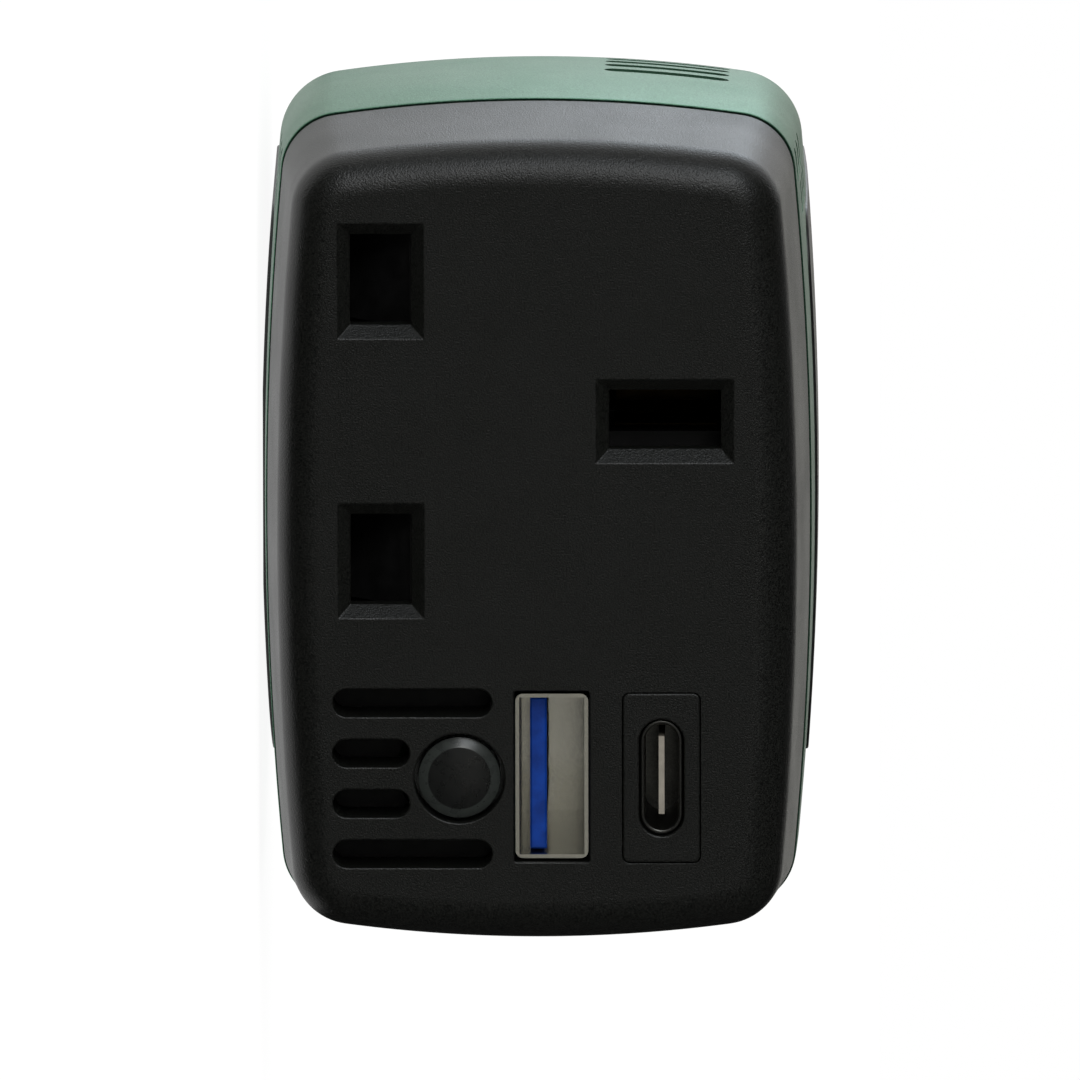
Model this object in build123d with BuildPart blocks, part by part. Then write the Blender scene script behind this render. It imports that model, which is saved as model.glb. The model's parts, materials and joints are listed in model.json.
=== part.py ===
from build123d import *
import os
from math import cos, pi, radians, sin, sqrt, tan

os.makedirs("parts", exist_ok=True)

# Compact car power inverter, lying on its lower pad with its front face towards -Y.
# Depths run from the front face towards +Y; x and z are counted from the axis of the case.

# Case
body_width = 65.7
body_height = 42.9
cap_depth = 14.7
seam_gap = 0.35
shell_length = 52.0
rear_depth = 12.0
long_side_radius = 295.0
short_side_radius = 112.0
corner_radius = 4.75
corner_growth = 0.02
side_flare = 0.051
side_curve_radius = 130.0
top_flare = 0.03
top_curve_radius = 600.0
shell_wall = 1.8
cap_wall = 2.2
face_wall = 2.4
cap_draft = 4.6
cap_edge_radius = 3.3
rim_step = 0.12
rear_side_draft = 17.0
rear_top_draft = 6.0
rear_edge_radius = 3.0
spigot_wall = 1.2
spigot_clearance = 0.1
spigot_reach = 2.0
spigot_root = 2.0
clip_width = 8.0
clip_height = 0.45
clip_length = 0.9
clip_spacing = 24.0
clip_clearance = 0.05

# Pads on the two broad sides; the lower one is a foot with a flat land
pad_front = 9.75
pad_length = 36.0
pad_half_width = 21.8
pad_corner_radius = 5.0
pad_proud = 0.2
pad_recess = 0.6
pad_clearance = 0.05
foot_flat_cut = 0.1

# Shell vents
vent_width = 1.8
vent_length = 9.8
vent_pitch = 3.5
vent_first = 13.7
vent_count = 6
vent_z = 10.0
side_vent_width = 1.3
side_vent_length = 2.7
side_vent_pitch = 3.5
side_vent_first = 2.8
side_vent_x = -27.0
side_vent_step = 3.1
side_vent_rows = 3

# British three-pin socket, seen from the front
socket_x = -9.79
pin_row_z = -12.2
pin_spacing = 22.23
earth_rise = 22.23
line_aperture_width = 7.2
line_aperture_height = 4.8
earth_aperture_width = 4.7
earth_aperture_height = 8.8
aperture_bevel = 1.0

# Vent slots, power button and ports in the face
slot_width = 2.2
slot_pitch = 4.01
slot_first_x = 12.63
slot_low_z = -16.0
slot_long_top = -3.55
slot_short_top = -10.0
slot_depth = 4.4
edge_softening = 0.15
screen_thickness = 0.8
vent_block_margin = 1.1
vent_block_low_margin = 0.5
vent_block_corner = 2.5
button_x = 18.65
button_z = -6.1
button_hole_radius = 3.55
button_radius = 3.2
button_rim_depth = 0.55
button_shoulder_radius = 2.2
button_shoulder_depth = 0.16
button_apex_depth = 0.02
button_rim_bend = 0.42
button_flange_radius = 3.85
button_flange_thickness = 1.5
button_seat_gap = 0.05
button_guide_clearance = 0.05
button_collar_wall = 0.95
button_collar_depth = 6.2
button_stem_radius = 1.5
button_travel = 0.6
usb_a_x = 18.5
usb_a_z = 1.14
usb_a_width = 13.1
usb_a_height = 5.7
usb_a_metal = 0.3
usb_a_front = 0.4
usb_a_window_gap = 0.1
usb_a_end_gap = 0.25
usb_a_corner = 0.6
usb_a_strip = 0.2
usb_a_strip_width = 1.0
usb_a_strips_at = (-3.5, -1.0, 1.0, 3.5)
tongue_width = 12.07
tongue_thickness = 1.3
tongue_z = 0.08
tongue_front = 1.6
tongue_lip = 0.8
usb_c_x = 18.6
usb_c_z = 9.73
usb_c_width = 9.12
usb_c_height = 3.3
usb_c_metal = 0.35
usb_c_front = 0.35
usb_c_length = 9.0
usb_c_hole_gap = 0.1
usb_c_tongue_width = 6.2
usb_c_tongue_thickness = 0.45
usb_c_tongue_front = 1.3
panel_width = 13.6
panel_height = 6.16
panel_corner = 0.6
panel_gap = 0.06
panel_edge = 0.1

# Charger board behind the button and ports
charger_depth = 19.4
board_thickness = 1.6
board_corner = 1.0
charger_low_x = 7.0
charger_edge = 3.6
charger_low_z = -12.0
charger_high_z = 15.0
charger_post_insets = (2.2, 1.6)
charger_post_z = 5.4
charger_post_radius = 1.9
switch_size = 6.0
switch_height = 3.5
switch_corner = 0.6
plunger_radius = 1.7
plunger_rise = 1.2
plunger_length = 1.0
plunger_chamfer = 0.3
plunger_clearance = 0.05

# Shutter across the live and neutral apertures
shutter_front = 2.6
shutter_overlap = 0.25
shutter_plate = 1.5
shutter_slope_run = 4.6
shutter_lip = 0.4
shutter_bar_height = 3.2
shutter_bar_depth = 4.8
shutter_side_margin = 0.5
shutter_travel = 5.3
guide_clearance = 0.08
guide_rib = 1.0
ledge_height = 0.9
spring_radius = 1.4
spring_wire = 0.4
spring_turns = 8
spring_shelf_z = 4.3
spring_shelf_height = 1.0
spring_seat_gap = 0.05

# Carrier of the socket contacts
carrier_depth = 8.8
flange_thickness = 2.4
tower_back = 23.6
tower_wall = 1.2
line_pocket_width = 8.0
line_pocket_height = 6.2
earth_pocket_width = 6.8
earth_pocket_height = 10.0
line_pin_width = 6.35
earth_pin_height = 8.0
contact_metal = 0.7
contact_mouth = 12.0
contact_back = 22.6
contact_tail = 3.0
jaw_gap = 1.9
jaw_flare = 2.3
jaw_lead = 2.0
jaw_length = 5.0
socket_screws_at = ((-23.4, 10.0), (3.2, 10.0), (-9.79, -13.4))
socket_post_radius = 2.4
small_shank = 1.1
small_head_radius = 2.0
small_head_height = 1.4
small_screw_length = 7.0
thread_clearance = 0.02
thread_end = 0.8

# Main board and what stands on it
main_board_z = -12.6
main_board_front = 27.5
main_board_back = 60.0
main_board_half = 21.0
main_post_x = 17.6
main_post_inset = 3.6
main_post_radius = 2.4
board_screw_length = 5.0
core_x = -5.0
core_centre = 45.5
core_width = 20.0
core_height = 20.0
core_length = 13.0
core_leg = 6.0
core_yoke = 4.0
winding_clearance = 0.3
winding_overhang = 4.0
input_can_radius = 4.5
input_can_height = 16.0
can_x = 10.6
input_can_depths = (33.5, 43.0)
output_can_radius = 5.5
output_can_height = 20.0
output_can_depth = 53.2
can_edge = 0.8
can_groove = 0.5
component_gap = 0.1
sink_x = -20.5
sink_depth = 43.75
sink_length = 26.0
sink_base = 1.6
sink_height = 17.0
sink_fin = 0.9
sink_fin_reach = 2.2
sink_fins = 5
transistor_count = 3
transistor_pitch = 7.6
transistor_width = 7.4
transistor_thickness = 3.0
transistor_height = 9.0
transistor_tab = 5.0
transistor_tab_thickness = 1.0
transistor_lead = 3.0
transistor_lead_pitch = 2.5
transistor_lead_size = 0.8
fuse_width = 10.9
fuse_thickness = 3.8
fuse_height = 8.8
fuse_waist = 1.0
fuse_x = -5.0
fuse_depth = 58.0
choke_radius = 6.0
choke_hole = 2.6
choke_height = 6.0
choke_x = -8.0
choke_depth = 31.3
choke_edge = 1.2

# Rear: fan, grille, cable inlet and case screws
fan_x = -5.5
fan_size = 20.0
fan_thickness = 10.0
fan_corner = 1.6
fan_bore_radius = 9.3
fan_hole_offset = 8.0
fan_standoff = 2.0
fan_post_radius = 1.6
fan_post_root = 0.55
fan_thread_depth = 1.3
fan_stator_radius = 4.9
fan_stator_thickness = 1.4
fan_strut_width = 1.6
fan_strut_bite = 0.5
bearing_radius = 1.8
bearing_length = 5.0
shaft_radius = 0.75
shaft_clearance = 0.05
hub_radius = 5.0
hub_wall = 0.9
hub_front_gap = 0.6
hub_back_gap = 0.5
blade_count = 7
blade_tip_radius = 8.8
blade_thickness = 0.8
blade_chord = 5.6
blade_root_angle = 42.0
blade_tip_angle = 58.0
fan_screw_shank = 0.8
fan_screw_head = 1.4
fan_screw_head_height = 1.0
grille_radius = 8.8
grille_slot_width = 1.8
grille_pitch = 3.3
grille_rows = 5
inlet_x = 12.9
inlet_bore_radius = 3.0
inlet_neck_radius = 3.8
inlet_flange_radius = 4.4
inlet_flange = 1.2
inlet_back = 1.5
inlet_clearance = 0.05
inlet_soft = 0.4
case_screw_x = 13.5
case_screw_z = 12.5
case_screw_shank = 1.1
case_screw_head = 1.8
case_screw_head_height = 1.6
case_screw_recess = 1.9
case_screw_length = 16.3
case_boss_radius = 2.3
case_boss_length = 4.8
case_web_width = 2.6
case_web_bite = 0.35
screw_hole_clearance = 0.15

# What follows from the sizes above
shell_front = cap_depth + seam_gap
shell_back = shell_front + shell_length
rear_front = shell_back + seam_gap
rear_back = rear_front + rear_depth
overall_length = rear_back + inlet_flange
face_y = -overall_length / 2
top_swell = top_flare**2 * top_curve_radius / 2
rest_height = body_height / 2 + top_swell + pad_proud - foot_flat_cut
mid_z = rest_height
spigot_inset = shell_wall + spigot_clearance
overrun = 1.0
shell_stations = 7
cut = 30.0
root = 0.5
charger_high_x = body_width / 2 - charger_edge
charger_post_x = (charger_low_x + charger_post_insets[0],
                  charger_high_x - charger_post_insets[1])


def plane_at(depth):
    """The plane square to the length of the unit at a depth, seen from the front."""
    return Plane(origin=(0, face_y + depth, mid_z), x_dir=(1, 0, 0), z_dir=(0, -1, 0))


def side_plane(x):
    """The upright plane along the length at x; its own x is the depth, its y is z."""
    return Plane(origin=(x, face_y, mid_z), x_dir=(0, 1, 0), z_dir=(1, 0, 0))


def block(x, z, width, height, near, far, mode=Mode.ADD):
    """A box centred on x and z, from the near depth to the far one."""
    with BuildSketch(plane_at(near)) as face:
        with Locations((x, z)):
            Rectangle(width, height)
    extrude(face.sketch, amount=near - far, mode=mode)


def disc(x, z, radius, near, far, mode=Mode.ADD):
    """A round bar along the depth, from the near depth to the far one."""
    with BuildSketch(plane_at(near)) as face:
        with Locations((x, z)):
            Circle(radius)
    extrude(face.sketch, amount=near - far, mode=mode)


def slab(x, depth, width, length, low, high, mode=Mode.ADD):
    """A box standing on the level low and ending at the level high, centred on x and depth."""
    with BuildSketch(Plane.XY.offset(mid_z + low)) as face:
        with Locations((x, face_y + depth)):
            Rectangle(width, length)
    extrude(face.sketch, amount=high - low, mode=mode)


def post(x, depth, radius, low, high, mode=Mode.ADD):
    """An upright round bar from the level low to the level high."""
    with BuildSketch(Plane.XY.offset(mid_z + low)) as face:
        with Locations((x, face_y + depth)):
            Circle(radius)
    extrude(face.sketch, amount=high - low, mode=mode)


def bow(half_length, radius):
    """How far a bowed side of that half length stands out at its middle."""
    return radius - sqrt(radius**2 - half_length**2)


def swell(distance, flare, radius):
    """Outward offset of the shell at a distance behind its front edge."""
    return flare * distance - distance**2 / (2 * radius)


def outline(depth, half_width, half_height, corner):
    """A rounded rectangle whose four sides bow outwards."""
    corner_x = half_width - bow(half_height, short_side_radius)
    corner_z = half_height - bow(half_width, long_side_radius)
    with BuildSketch(plane_at(depth)) as sketch:
        with BuildLine():
            ThreePointArc((-corner_x, corner_z), (0, half_height), (corner_x, corner_z))
            ThreePointArc((corner_x, corner_z), (half_width, 0), (corner_x, -corner_z))
            ThreePointArc((corner_x, -corner_z), (0, -half_height), (-corner_x, -corner_z))
            ThreePointArc((-corner_x, -corner_z), (-half_width, 0), (-corner_x, corner_z))
        make_face()
        fillet(sketch.vertices(), corner)
    return sketch.sketch


def shell_outline(distance, inset):
    """The shell's section at a distance behind its front edge, drawn in by inset."""
    return outline(
        shell_front + distance,
        body_width / 2 + swell(distance, side_flare, side_curve_radius) - inset,
        body_height / 2 + swell(distance, top_flare, top_curve_radius) - inset,
        corner_radius + corner_growth * distance - inset,
    )


def shell_sections(inset):
    """Sections along the whole shell, from just before it to just behind it."""
    step = (shell_length + 2 * overrun) / (shell_stations - 1)
    return [shell_outline(i * step - overrun, inset) for i in range(shell_stations)]


def cap_outline(depth, inset):
    """The front cap's section, narrower towards the face by its draft."""
    drawn_in = rim_step + (cap_depth - depth) * tan(radians(cap_draft)) + inset
    return outline(
        depth, body_width / 2 - drawn_in, body_height / 2 - drawn_in, corner_radius - inset
    )


def rear_outline(depth, inset):
    """The rear cap's section, narrower towards the back by its two drafts."""
    back = depth - rear_front
    side = swell(shell_length, side_flare, side_curve_radius) - rim_step - inset
    top = swell(shell_length, top_flare, top_curve_radius) - rim_step - inset
    return outline(
        depth,
        body_width / 2 + side - back * tan(radians(rear_side_draft)),
        body_height / 2 + top - back * tan(radians(rear_top_draft)),
        corner_radius + corner_growth * shell_length - inset,
    )


def spigot(distances, near, far):
    """A wall just inside the shell's mouth, between two depths."""
    loft(sections=[shell_outline(d, spigot_inset) for d in distances])
    loft(sections=[shell_outline(d, spigot_inset + spigot_wall) for d in distances],
         mode=Mode.SUBTRACT)
    split(bisect_by=plane_at(near), keep=Keep.BOTTOM)
    split(bisect_by=plane_at(far), keep=Keep.TOP)


def save(part, name):
    """Label a finished piece and write it."""
    part.label = name
    export_step(part, f"parts/{name}.step")


neutral_x = socket_x - pin_spacing / 2
live_x = socket_x + pin_spacing / 2
earth_z = pin_row_z + earth_rise

# Pad spaces: rounded plates outside the floor of the recesses in the shell
pad_centre_y = face_y + shell_front + pad_front + pad_length / 2


def pad_space(side, margin):
    """The room of the upper (1) or lower (-1) pad, widened by a margin."""
    with BuildPart() as space:
        with BuildSketch(Plane.XY.offset(mid_z)):
            with Locations((0, pad_centre_y)):
                RectangleRounded(
                    2 * (pad_half_width + margin), pad_length + 2 * margin,
                    pad_corner_radius + margin,
                )
        extrude(amount=side * cut)
        loft(sections=shell_sections(pad_recess), mode=Mode.SUBTRACT)
    return space.part


upper_pocket = pad_space(1, pad_clearance)
lower_pocket = pad_space(-1, pad_clearance)

# Upper pad: follows the shell, a little proud of it
upper_space = pad_space(1, 0)
with BuildPart() as upper_pad:
    add(upper_space)
    loft(sections=shell_sections(-pad_proud), mode=Mode.INTERSECT)
save(upper_pad.part, "upper_pad")

# Lower pad: level along its length, bowed across, with a flat land to rest on
lower_space = pad_space(-1, 0)
foot_crown = -body_height / 2 - top_swell - pad_proud
with BuildPart() as lower_pad:
    add(lower_space)
    with BuildSketch(plane_at(shell_front)):
        with BuildLine():
            side_z = foot_crown + bow(cut, long_side_radius)
            ThreePointArc((-cut, side_z), (0, foot_crown), (cut, side_z))
            Polyline((cut, side_z), (cut, 0), (-cut, 0), (-cut, side_z))
        make_face()
    extrude(amount=-shell_length, mode=Mode.INTERSECT)
    split(bisect_by=Plane.XY, keep=Keep.TOP)
save(lower_pad.part, "lower_pad")

# Shell: one swelling, tapering wall with vents, pad recesses, bosses and clip grooves
clip_z = body_height / 2 - spigot_inset
boss_back = shell_back - spigot_reach - clip_clearance
boss_front = boss_back - case_boss_length
web_top = (body_height / 2 + swell(boss_front - shell_front, top_flare, top_curve_radius)
           - shell_wall - bow(case_screw_x, long_side_radius) + case_web_bite)
case_screw_places = [(sx * case_screw_x, sz * case_screw_z) for sx in (-1, 1) for sz in (-1, 1)]
with BuildPart() as shell:
    loft(sections=shell_sections(0))
    loft(sections=shell_sections(shell_wall), mode=Mode.SUBTRACT)
    split(bisect_by=plane_at(shell_front), keep=Keep.BOTTOM)
    split(bisect_by=plane_at(shell_back), keep=Keep.TOP)
    add(upper_pocket, mode=Mode.SUBTRACT)
    add(lower_pocket, mode=Mode.SUBTRACT)
    # Row of vents in the side next to the neutral aperture
    with BuildSketch(side_plane(0)) as vents:
        with Locations([(shell_front + vent_first + i * vent_pitch, vent_z)
                        for i in range(vent_count)]):
            SlotOverall(vent_length, vent_width, rotation=90)
    extrude(vents.sketch, amount=-body_width, mode=Mode.SUBTRACT)
    # Short vents beside the pads, in both broad sides
    with BuildSketch(Plane.XY.offset(mid_z - body_height)):
        rows = [(side_vent_x, face_y + shell_front + side_vent_first + i * side_vent_pitch)
                for i in range(side_vent_rows)]
        rows += [(x + side_vent_step, y + side_vent_pitch) for x, y in rows]
        with Locations(rows):
            SlotOverall(side_vent_length, side_vent_width)
    extrude(amount=2 * body_height, mode=Mode.SUBTRACT)
    # Bosses for the rear screws, each on a web that bites into the wall
    for x, z in case_screw_places:
        side = 1 if z > 0 else -1
        disc(x, z, case_boss_radius, boss_front, boss_back)
        block(x, (z + side * web_top) / 2, case_web_width, web_top - case_screw_z,
              boss_front, boss_back)
        disc(x, z, case_screw_shank + thread_clearance, boss_front + thread_end, boss_back,
             mode=Mode.SUBTRACT)
    # Posts for the main board
    for x in (-main_post_x, main_post_x):
        for depth in (main_board_front + main_post_inset, main_board_back - main_post_inset):
            floor = (shell_wall / 2 - body_height / 2
                     + bow(main_post_x + main_post_radius, long_side_radius)
                     - swell(depth - shell_front + main_post_radius, top_flare,
                             top_curve_radius))
            post(x, depth, main_post_radius, floor, main_board_z)
            post(x, depth, small_shank + thread_clearance, floor + thread_end, main_board_z,
                 mode=Mode.SUBTRACT)
    # Grooves for the front cap's clips
    for x in (-clip_spacing / 2, clip_spacing / 2):
        for side in (-1, 1):
            block(x, side * clip_z, clip_width + 2 * clip_clearance,
                  2 * (clip_height + spigot_clearance), shell_front + spigot_reach / 2
                  - clip_clearance, shell_front + spigot_reach / 2 + clip_length
                  + clip_clearance, mode=Mode.SUBTRACT)
save(shell.part, "shell")

# Front cap's spigot, made apart so that its cuts leave the cap alone
with BuildPart() as front_spigot:
    spigot((-spigot_root - overrun, 0, spigot_reach + overrun), cap_depth - spigot_root,
           shell_front + spigot_reach)
    for x in (-clip_spacing / 2, clip_spacing / 2):
        for side in (-1, 1):
            block(x, side * (clip_z - clip_height), clip_width, 4 * clip_height,
                  shell_front + spigot_reach / 2, shell_front + spigot_reach / 2 + clip_length)

slot_rows = [slot_first_x + i * slot_pitch for i in range(4)]
slot_tops = [slot_long_top, slot_short_top, slot_short_top, slot_long_top]
block_left = slot_rows[0] - slot_width / 2 - vent_block_margin
block_right = slot_rows[-1] + slot_width / 2 + vent_block_margin
block_low = slot_low_z - vent_block_low_margin
block_high = slot_long_top + vent_block_margin
collar_radius = button_flange_radius + button_guide_clearance + button_collar_wall
guide_left = neutral_x - line_aperture_width / 2 - shutter_side_margin
guide_right = live_x + line_aperture_width / 2 + shutter_side_margin
shutter_low = pin_row_z - line_aperture_height / 2 - shutter_overlap
shutter_high = pin_row_z + line_aperture_height / 2 + shutter_overlap
rib_back = shutter_front + shutter_slope_run + shutter_plate + guide_clearance


def vent_plate(near, far):
    """The rounded plate that covers the vent slots from behind."""
    with BuildSketch(plane_at(near)) as plate:
        with Locations(((block_left + block_right) / 2, (block_low + block_high) / 2)):
            RectangleRounded(block_right - block_left, block_high - block_low,
                             vent_block_corner)
    extrude(plate.sketch, amount=near - far)


def bevelled_aperture(x, z, width, height):
    """A rectangular pin aperture with a sloping lead-in."""
    with BuildSketch(plane_at(0)) as mouth:
        with Locations((x, z)):
            Rectangle(width + 2 * aperture_bevel, height + 2 * aperture_bevel)
    with BuildSketch(plane_at(aperture_bevel)) as throat:
        with Locations((x, z)):
            Rectangle(width, height)
    loft(sections=[mouth.sketch, throat.sketch], ruled=True, mode=Mode.SUBTRACT)
    block(x, z, width, height, aperture_bevel / 2, face_wall + overrun, mode=Mode.SUBTRACT)


with BuildPart() as front_cap:
    loft(sections=[cap_outline(0, 0), cap_outline(cap_depth, 0)], ruled=True)
    fillet(front_cap.faces().sort_by(Axis.Y)[0].edges(), cap_edge_radius)
    loft(sections=[cap_outline(face_wall, cap_wall), cap_outline(cap_depth, cap_wall)],
         ruled=True, mode=Mode.SUBTRACT)
    add(front_spigot.part)
    # Thick pad behind the vent slots
    vent_plate(face_wall - root, slot_depth)
    for x, top in zip(slot_rows, slot_tops):
        with BuildSketch(plane_at(0)) as slot:
            with Locations((x, (top + slot_low_z) / 2)):
                SlotOverall(top - slot_low_z, slot_width, rotation=90)
        extrude(slot.sketch, amount=-slot_depth - overrun, mode=Mode.SUBTRACT)
    # Button hole and the collar that guides its flange
    disc(button_x, button_z, collar_radius, face_wall - root, button_collar_depth)
    disc(button_x, button_z, button_flange_radius + button_guide_clearance, face_wall,
         button_collar_depth, mode=Mode.SUBTRACT)
    disc(button_x, button_z, button_hole_radius, 0, face_wall, mode=Mode.SUBTRACT)
    # USB-A window and the hole for the USB-C insert
    block(usb_a_x, usb_a_z, usb_a_width + 2 * usb_a_end_gap,
          usb_a_height + 2 * usb_a_window_gap, 0, button_collar_depth, mode=Mode.SUBTRACT)
    with BuildSketch(plane_at(0)) as panel_hole:
        with Locations((usb_c_x, usb_c_z)):
            RectangleRounded(panel_width, panel_height, panel_corner)
    extrude(panel_hole.sketch, amount=-button_collar_depth, mode=Mode.SUBTRACT)
    # Pin apertures
    bevelled_aperture(neutral_x, pin_row_z, line_aperture_width, line_aperture_height)
    bevelled_aperture(live_x, pin_row_z, line_aperture_width, line_aperture_height)
    bevelled_aperture(socket_x, earth_z, earth_aperture_width, earth_aperture_height)
    mouths = front_cap.edges().filter_by_position(Axis.Y, face_y - 0.01, face_y + 0.01)
    outer = front_cap.faces().sort_by(Axis.Y)[0].outer_wire().edges()
    fillet([edge for edge in mouths if edge not in outer], edge_softening)
    # Guides, ledges and spring shelf of the shutter
    rib_low = shutter_low - guide_clearance - ledge_height
    rib_high = shutter_high + shutter_bar_height + shutter_travel
    for x, inward in ((guide_left, 1), (guide_right, -1)):
        block(x - inward * (guide_clearance + guide_rib / 2), (rib_low + rib_high) / 2,
              guide_rib, rib_high - rib_low, face_wall - root, rib_back)
        block(x + inward * (line_aperture_width / 2), rib_low + ledge_height / 2,
              line_aperture_width + 2 * shutter_side_margin, ledge_height,
              face_wall - root, rib_back)
    block(socket_x, spring_shelf_z + spring_shelf_height / 2, 4 * spring_radius,
          spring_shelf_height, face_wall - root, carrier_depth - guide_clearance)
    # Posts for the carrier and for the charger board
    for x, z in socket_screws_at:
        disc(x, z, socket_post_radius, face_wall - root, carrier_depth)
        disc(x, z, small_shank + thread_clearance, face_wall + thread_end, carrier_depth,
             mode=Mode.SUBTRACT)
    for x in charger_post_x:
        disc(x, charger_post_z, charger_post_radius, face_wall - root, charger_depth)
        disc(x, charger_post_z, small_shank + thread_clearance,
             charger_depth - small_screw_length, charger_depth, mode=Mode.SUBTRACT)
save(front_cap.part, "front_cap")

# Screen closing the vent slots from behind
with BuildPart() as vent_screen:
    vent_plate(slot_depth, slot_depth + screen_thickness)
    disc(button_x, button_z, collar_radius + pad_clearance, slot_depth,
         slot_depth + screen_thickness, mode=Mode.SUBTRACT)
save(vent_screen.part, "vent_screen")

# Power button: a shallow dome with a sloping rim, a guiding flange and a long stem
plunger_front = charger_depth - switch_height - plunger_rise
flange_front = face_wall + button_seat_gap
button_plane = Plane(origin=(button_x, face_y, mid_z + button_z), z_dir=(0, 0, 1))
button_axis = Axis((button_x, face_y, mid_z + button_z), (0, 1, 0))
with BuildPart() as power_button:
    with BuildSketch(button_plane):
        with BuildLine():
            crown_mid = button_apex_depth + (button_shoulder_depth - button_apex_depth) / 4
            rim_fall = button_rim_depth - button_shoulder_depth
            rim_mid = button_shoulder_depth + rim_fall * button_rim_bend
            ThreePointArc((0, button_apex_depth), (button_shoulder_radius / 2, crown_mid),
                          (button_shoulder_radius, button_shoulder_depth))
            ThreePointArc((button_shoulder_radius, button_shoulder_depth),
                          ((button_shoulder_radius + button_radius) / 2, rim_mid),
                          (button_radius, button_rim_depth))
            Polyline(
                (button_radius, button_rim_depth), (button_radius, flange_front),
                (button_flange_radius, flange_front),
                (button_flange_radius, flange_front + button_flange_thickness),
                (button_stem_radius, flange_front + button_flange_thickness),
                (button_stem_radius, plunger_front), (0, plunger_front),
                (0, button_apex_depth),
            )
        make_face()
    revolve(axis=button_axis)
save(power_button.part, "power_button")

# Tact switch under the button: body on the charger board, plunger moving with the button
switch_front = charger_depth - switch_height
plunger_back = switch_front + plunger_length
with BuildPart() as switch_body:
    block(button_x, button_z, switch_size, switch_size, switch_front, charger_depth)
    fillet(switch_body.edges().filter_by(Axis.Y), switch_corner)
    disc(button_x, button_z, plunger_radius + plunger_clearance, switch_front,
         plunger_back + button_travel + plunger_clearance, mode=Mode.SUBTRACT)
save(switch_body.part, "switch_body")

with BuildPart() as switch_plunger:
    disc(button_x, button_z, plunger_radius, plunger_front, plunger_back)
    chamfer(switch_plunger.faces().sort_by(Axis.Y)[0].edges(), plunger_chamfer)
save(switch_plunger.part, "switch_plunger")

# USB-A port: folded metal shell, tongue and four contact strips
usb_a_back = charger_depth - usb_a_metal
strips_z = tongue_z + (tongue_thickness - usb_a_strip) / 2
with BuildPart() as usb_a_shell:
    with BuildSketch(plane_at(usb_a_front)) as rim:
        with Locations((usb_a_x, usb_a_z)):
            RectangleRounded(usb_a_width, usb_a_height, usb_a_corner)
    extrude(rim.sketch, amount=usb_a_front - charger_depth)
    block(usb_a_x, usb_a_z, usb_a_width - 2 * usb_a_metal, usb_a_height - 2 * usb_a_metal,
          usb_a_front, usb_a_back, mode=Mode.SUBTRACT)
save(usb_a_shell.part, "usb_a_shell")

with BuildPart() as usb_a_tongue:
    block(usb_a_x, tongue_z, tongue_width, tongue_thickness, tongue_front, usb_a_back)
    block(usb_a_x, strips_z, tongue_width, usb_a_strip, tongue_front + tongue_lip,
          usb_a_back, mode=Mode.SUBTRACT)
    chamfer(usb_a_tongue.faces().sort_by(Axis.Y)[0].edges(), edge_softening)
save(usb_a_tongue.part, "usb_a_tongue")

with BuildPart() as usb_a_contacts:
    for offset_x in usb_a_strips_at:
        block(usb_a_x + offset_x, strips_z, usb_a_strip_width, usb_a_strip,
              tongue_front + usb_a_strip_width, usb_a_back)
save(usb_a_contacts.part, "usb_a_contacts")

# USB-C port: plastic insert, drawn metal shell and centre tongue
usb_c_back = usb_c_front + usb_c_length
with BuildPart() as usb_c_panel:
    with BuildSketch(plane_at(0)) as insert:
        with Locations((usb_c_x, usb_c_z)):
            RectangleRounded(panel_width - 2 * panel_gap, panel_height - 2 * panel_gap,
                             panel_corner - panel_gap)
    extrude(insert.sketch, amount=-charger_depth)
    with BuildSketch(plane_at(0)) as port:
        with Locations((usb_c_x, usb_c_z)):
            SlotOverall(usb_c_width + 2 * usb_c_hole_gap, usb_c_height + 2 * usb_c_hole_gap)
    extrude(port.sketch, amount=-usb_c_back, mode=Mode.SUBTRACT)
    fillet(usb_c_panel.faces().sort_by(Axis.Y)[0].edges(), panel_edge)
save(usb_c_panel.part, "usb_c_panel")

with BuildPart() as usb_c_shell:
    for shrink, far, mode in ((0, usb_c_back, Mode.ADD),
                              (2 * usb_c_metal, usb_c_back - usb_c_metal, Mode.SUBTRACT)):
        with BuildSketch(plane_at(usb_c_front)) as ring:
            with Locations((usb_c_x, usb_c_z)):
                SlotOverall(usb_c_width - shrink, usb_c_height - shrink)
        extrude(ring.sketch, amount=usb_c_front - far, mode=mode)
save(usb_c_shell.part, "usb_c_shell")

with BuildPart() as usb_c_tongue:
    block(usb_c_x, usb_c_z, usb_c_tongue_width, usb_c_tongue_thickness, usb_c_tongue_front,
          usb_c_back - usb_c_metal)
save(usb_c_tongue.part, "usb_c_tongue")

# Charger board and its two screws
with BuildPart() as charger_board:
    block((charger_low_x + charger_high_x) / 2, (charger_low_z + charger_high_z) / 2,
          charger_high_x - charger_low_x, charger_high_z - charger_low_z,
          charger_depth, charger_depth + board_thickness)
    fillet(charger_board.edges().filter_by(Axis.Y), board_corner)
    for x in charger_post_x:
        disc(x, charger_post_z, small_shank + screw_hole_clearance, charger_depth,
             charger_depth + board_thickness, mode=Mode.SUBTRACT)
save(charger_board.part, "charger_board")


def cap_screws(places, seat, head_radius, head_height, shank_radius, length, way):
    """Screws along the depth: heads on the seat, shanks running towards way (-1 is front)."""
    for x, z in places:
        disc(x, z, head_radius, *sorted((seat, seat - way * head_height)))
        disc(x, z, shank_radius, *sorted((seat, seat + way * length)))
        for size in ((head_radius, head_radius / 4), (head_radius / 4, head_radius)):
            block(x, z, *size, *sorted((seat - way * head_height, seat - way * head_height / 2)),
                  mode=Mode.SUBTRACT)


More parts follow.
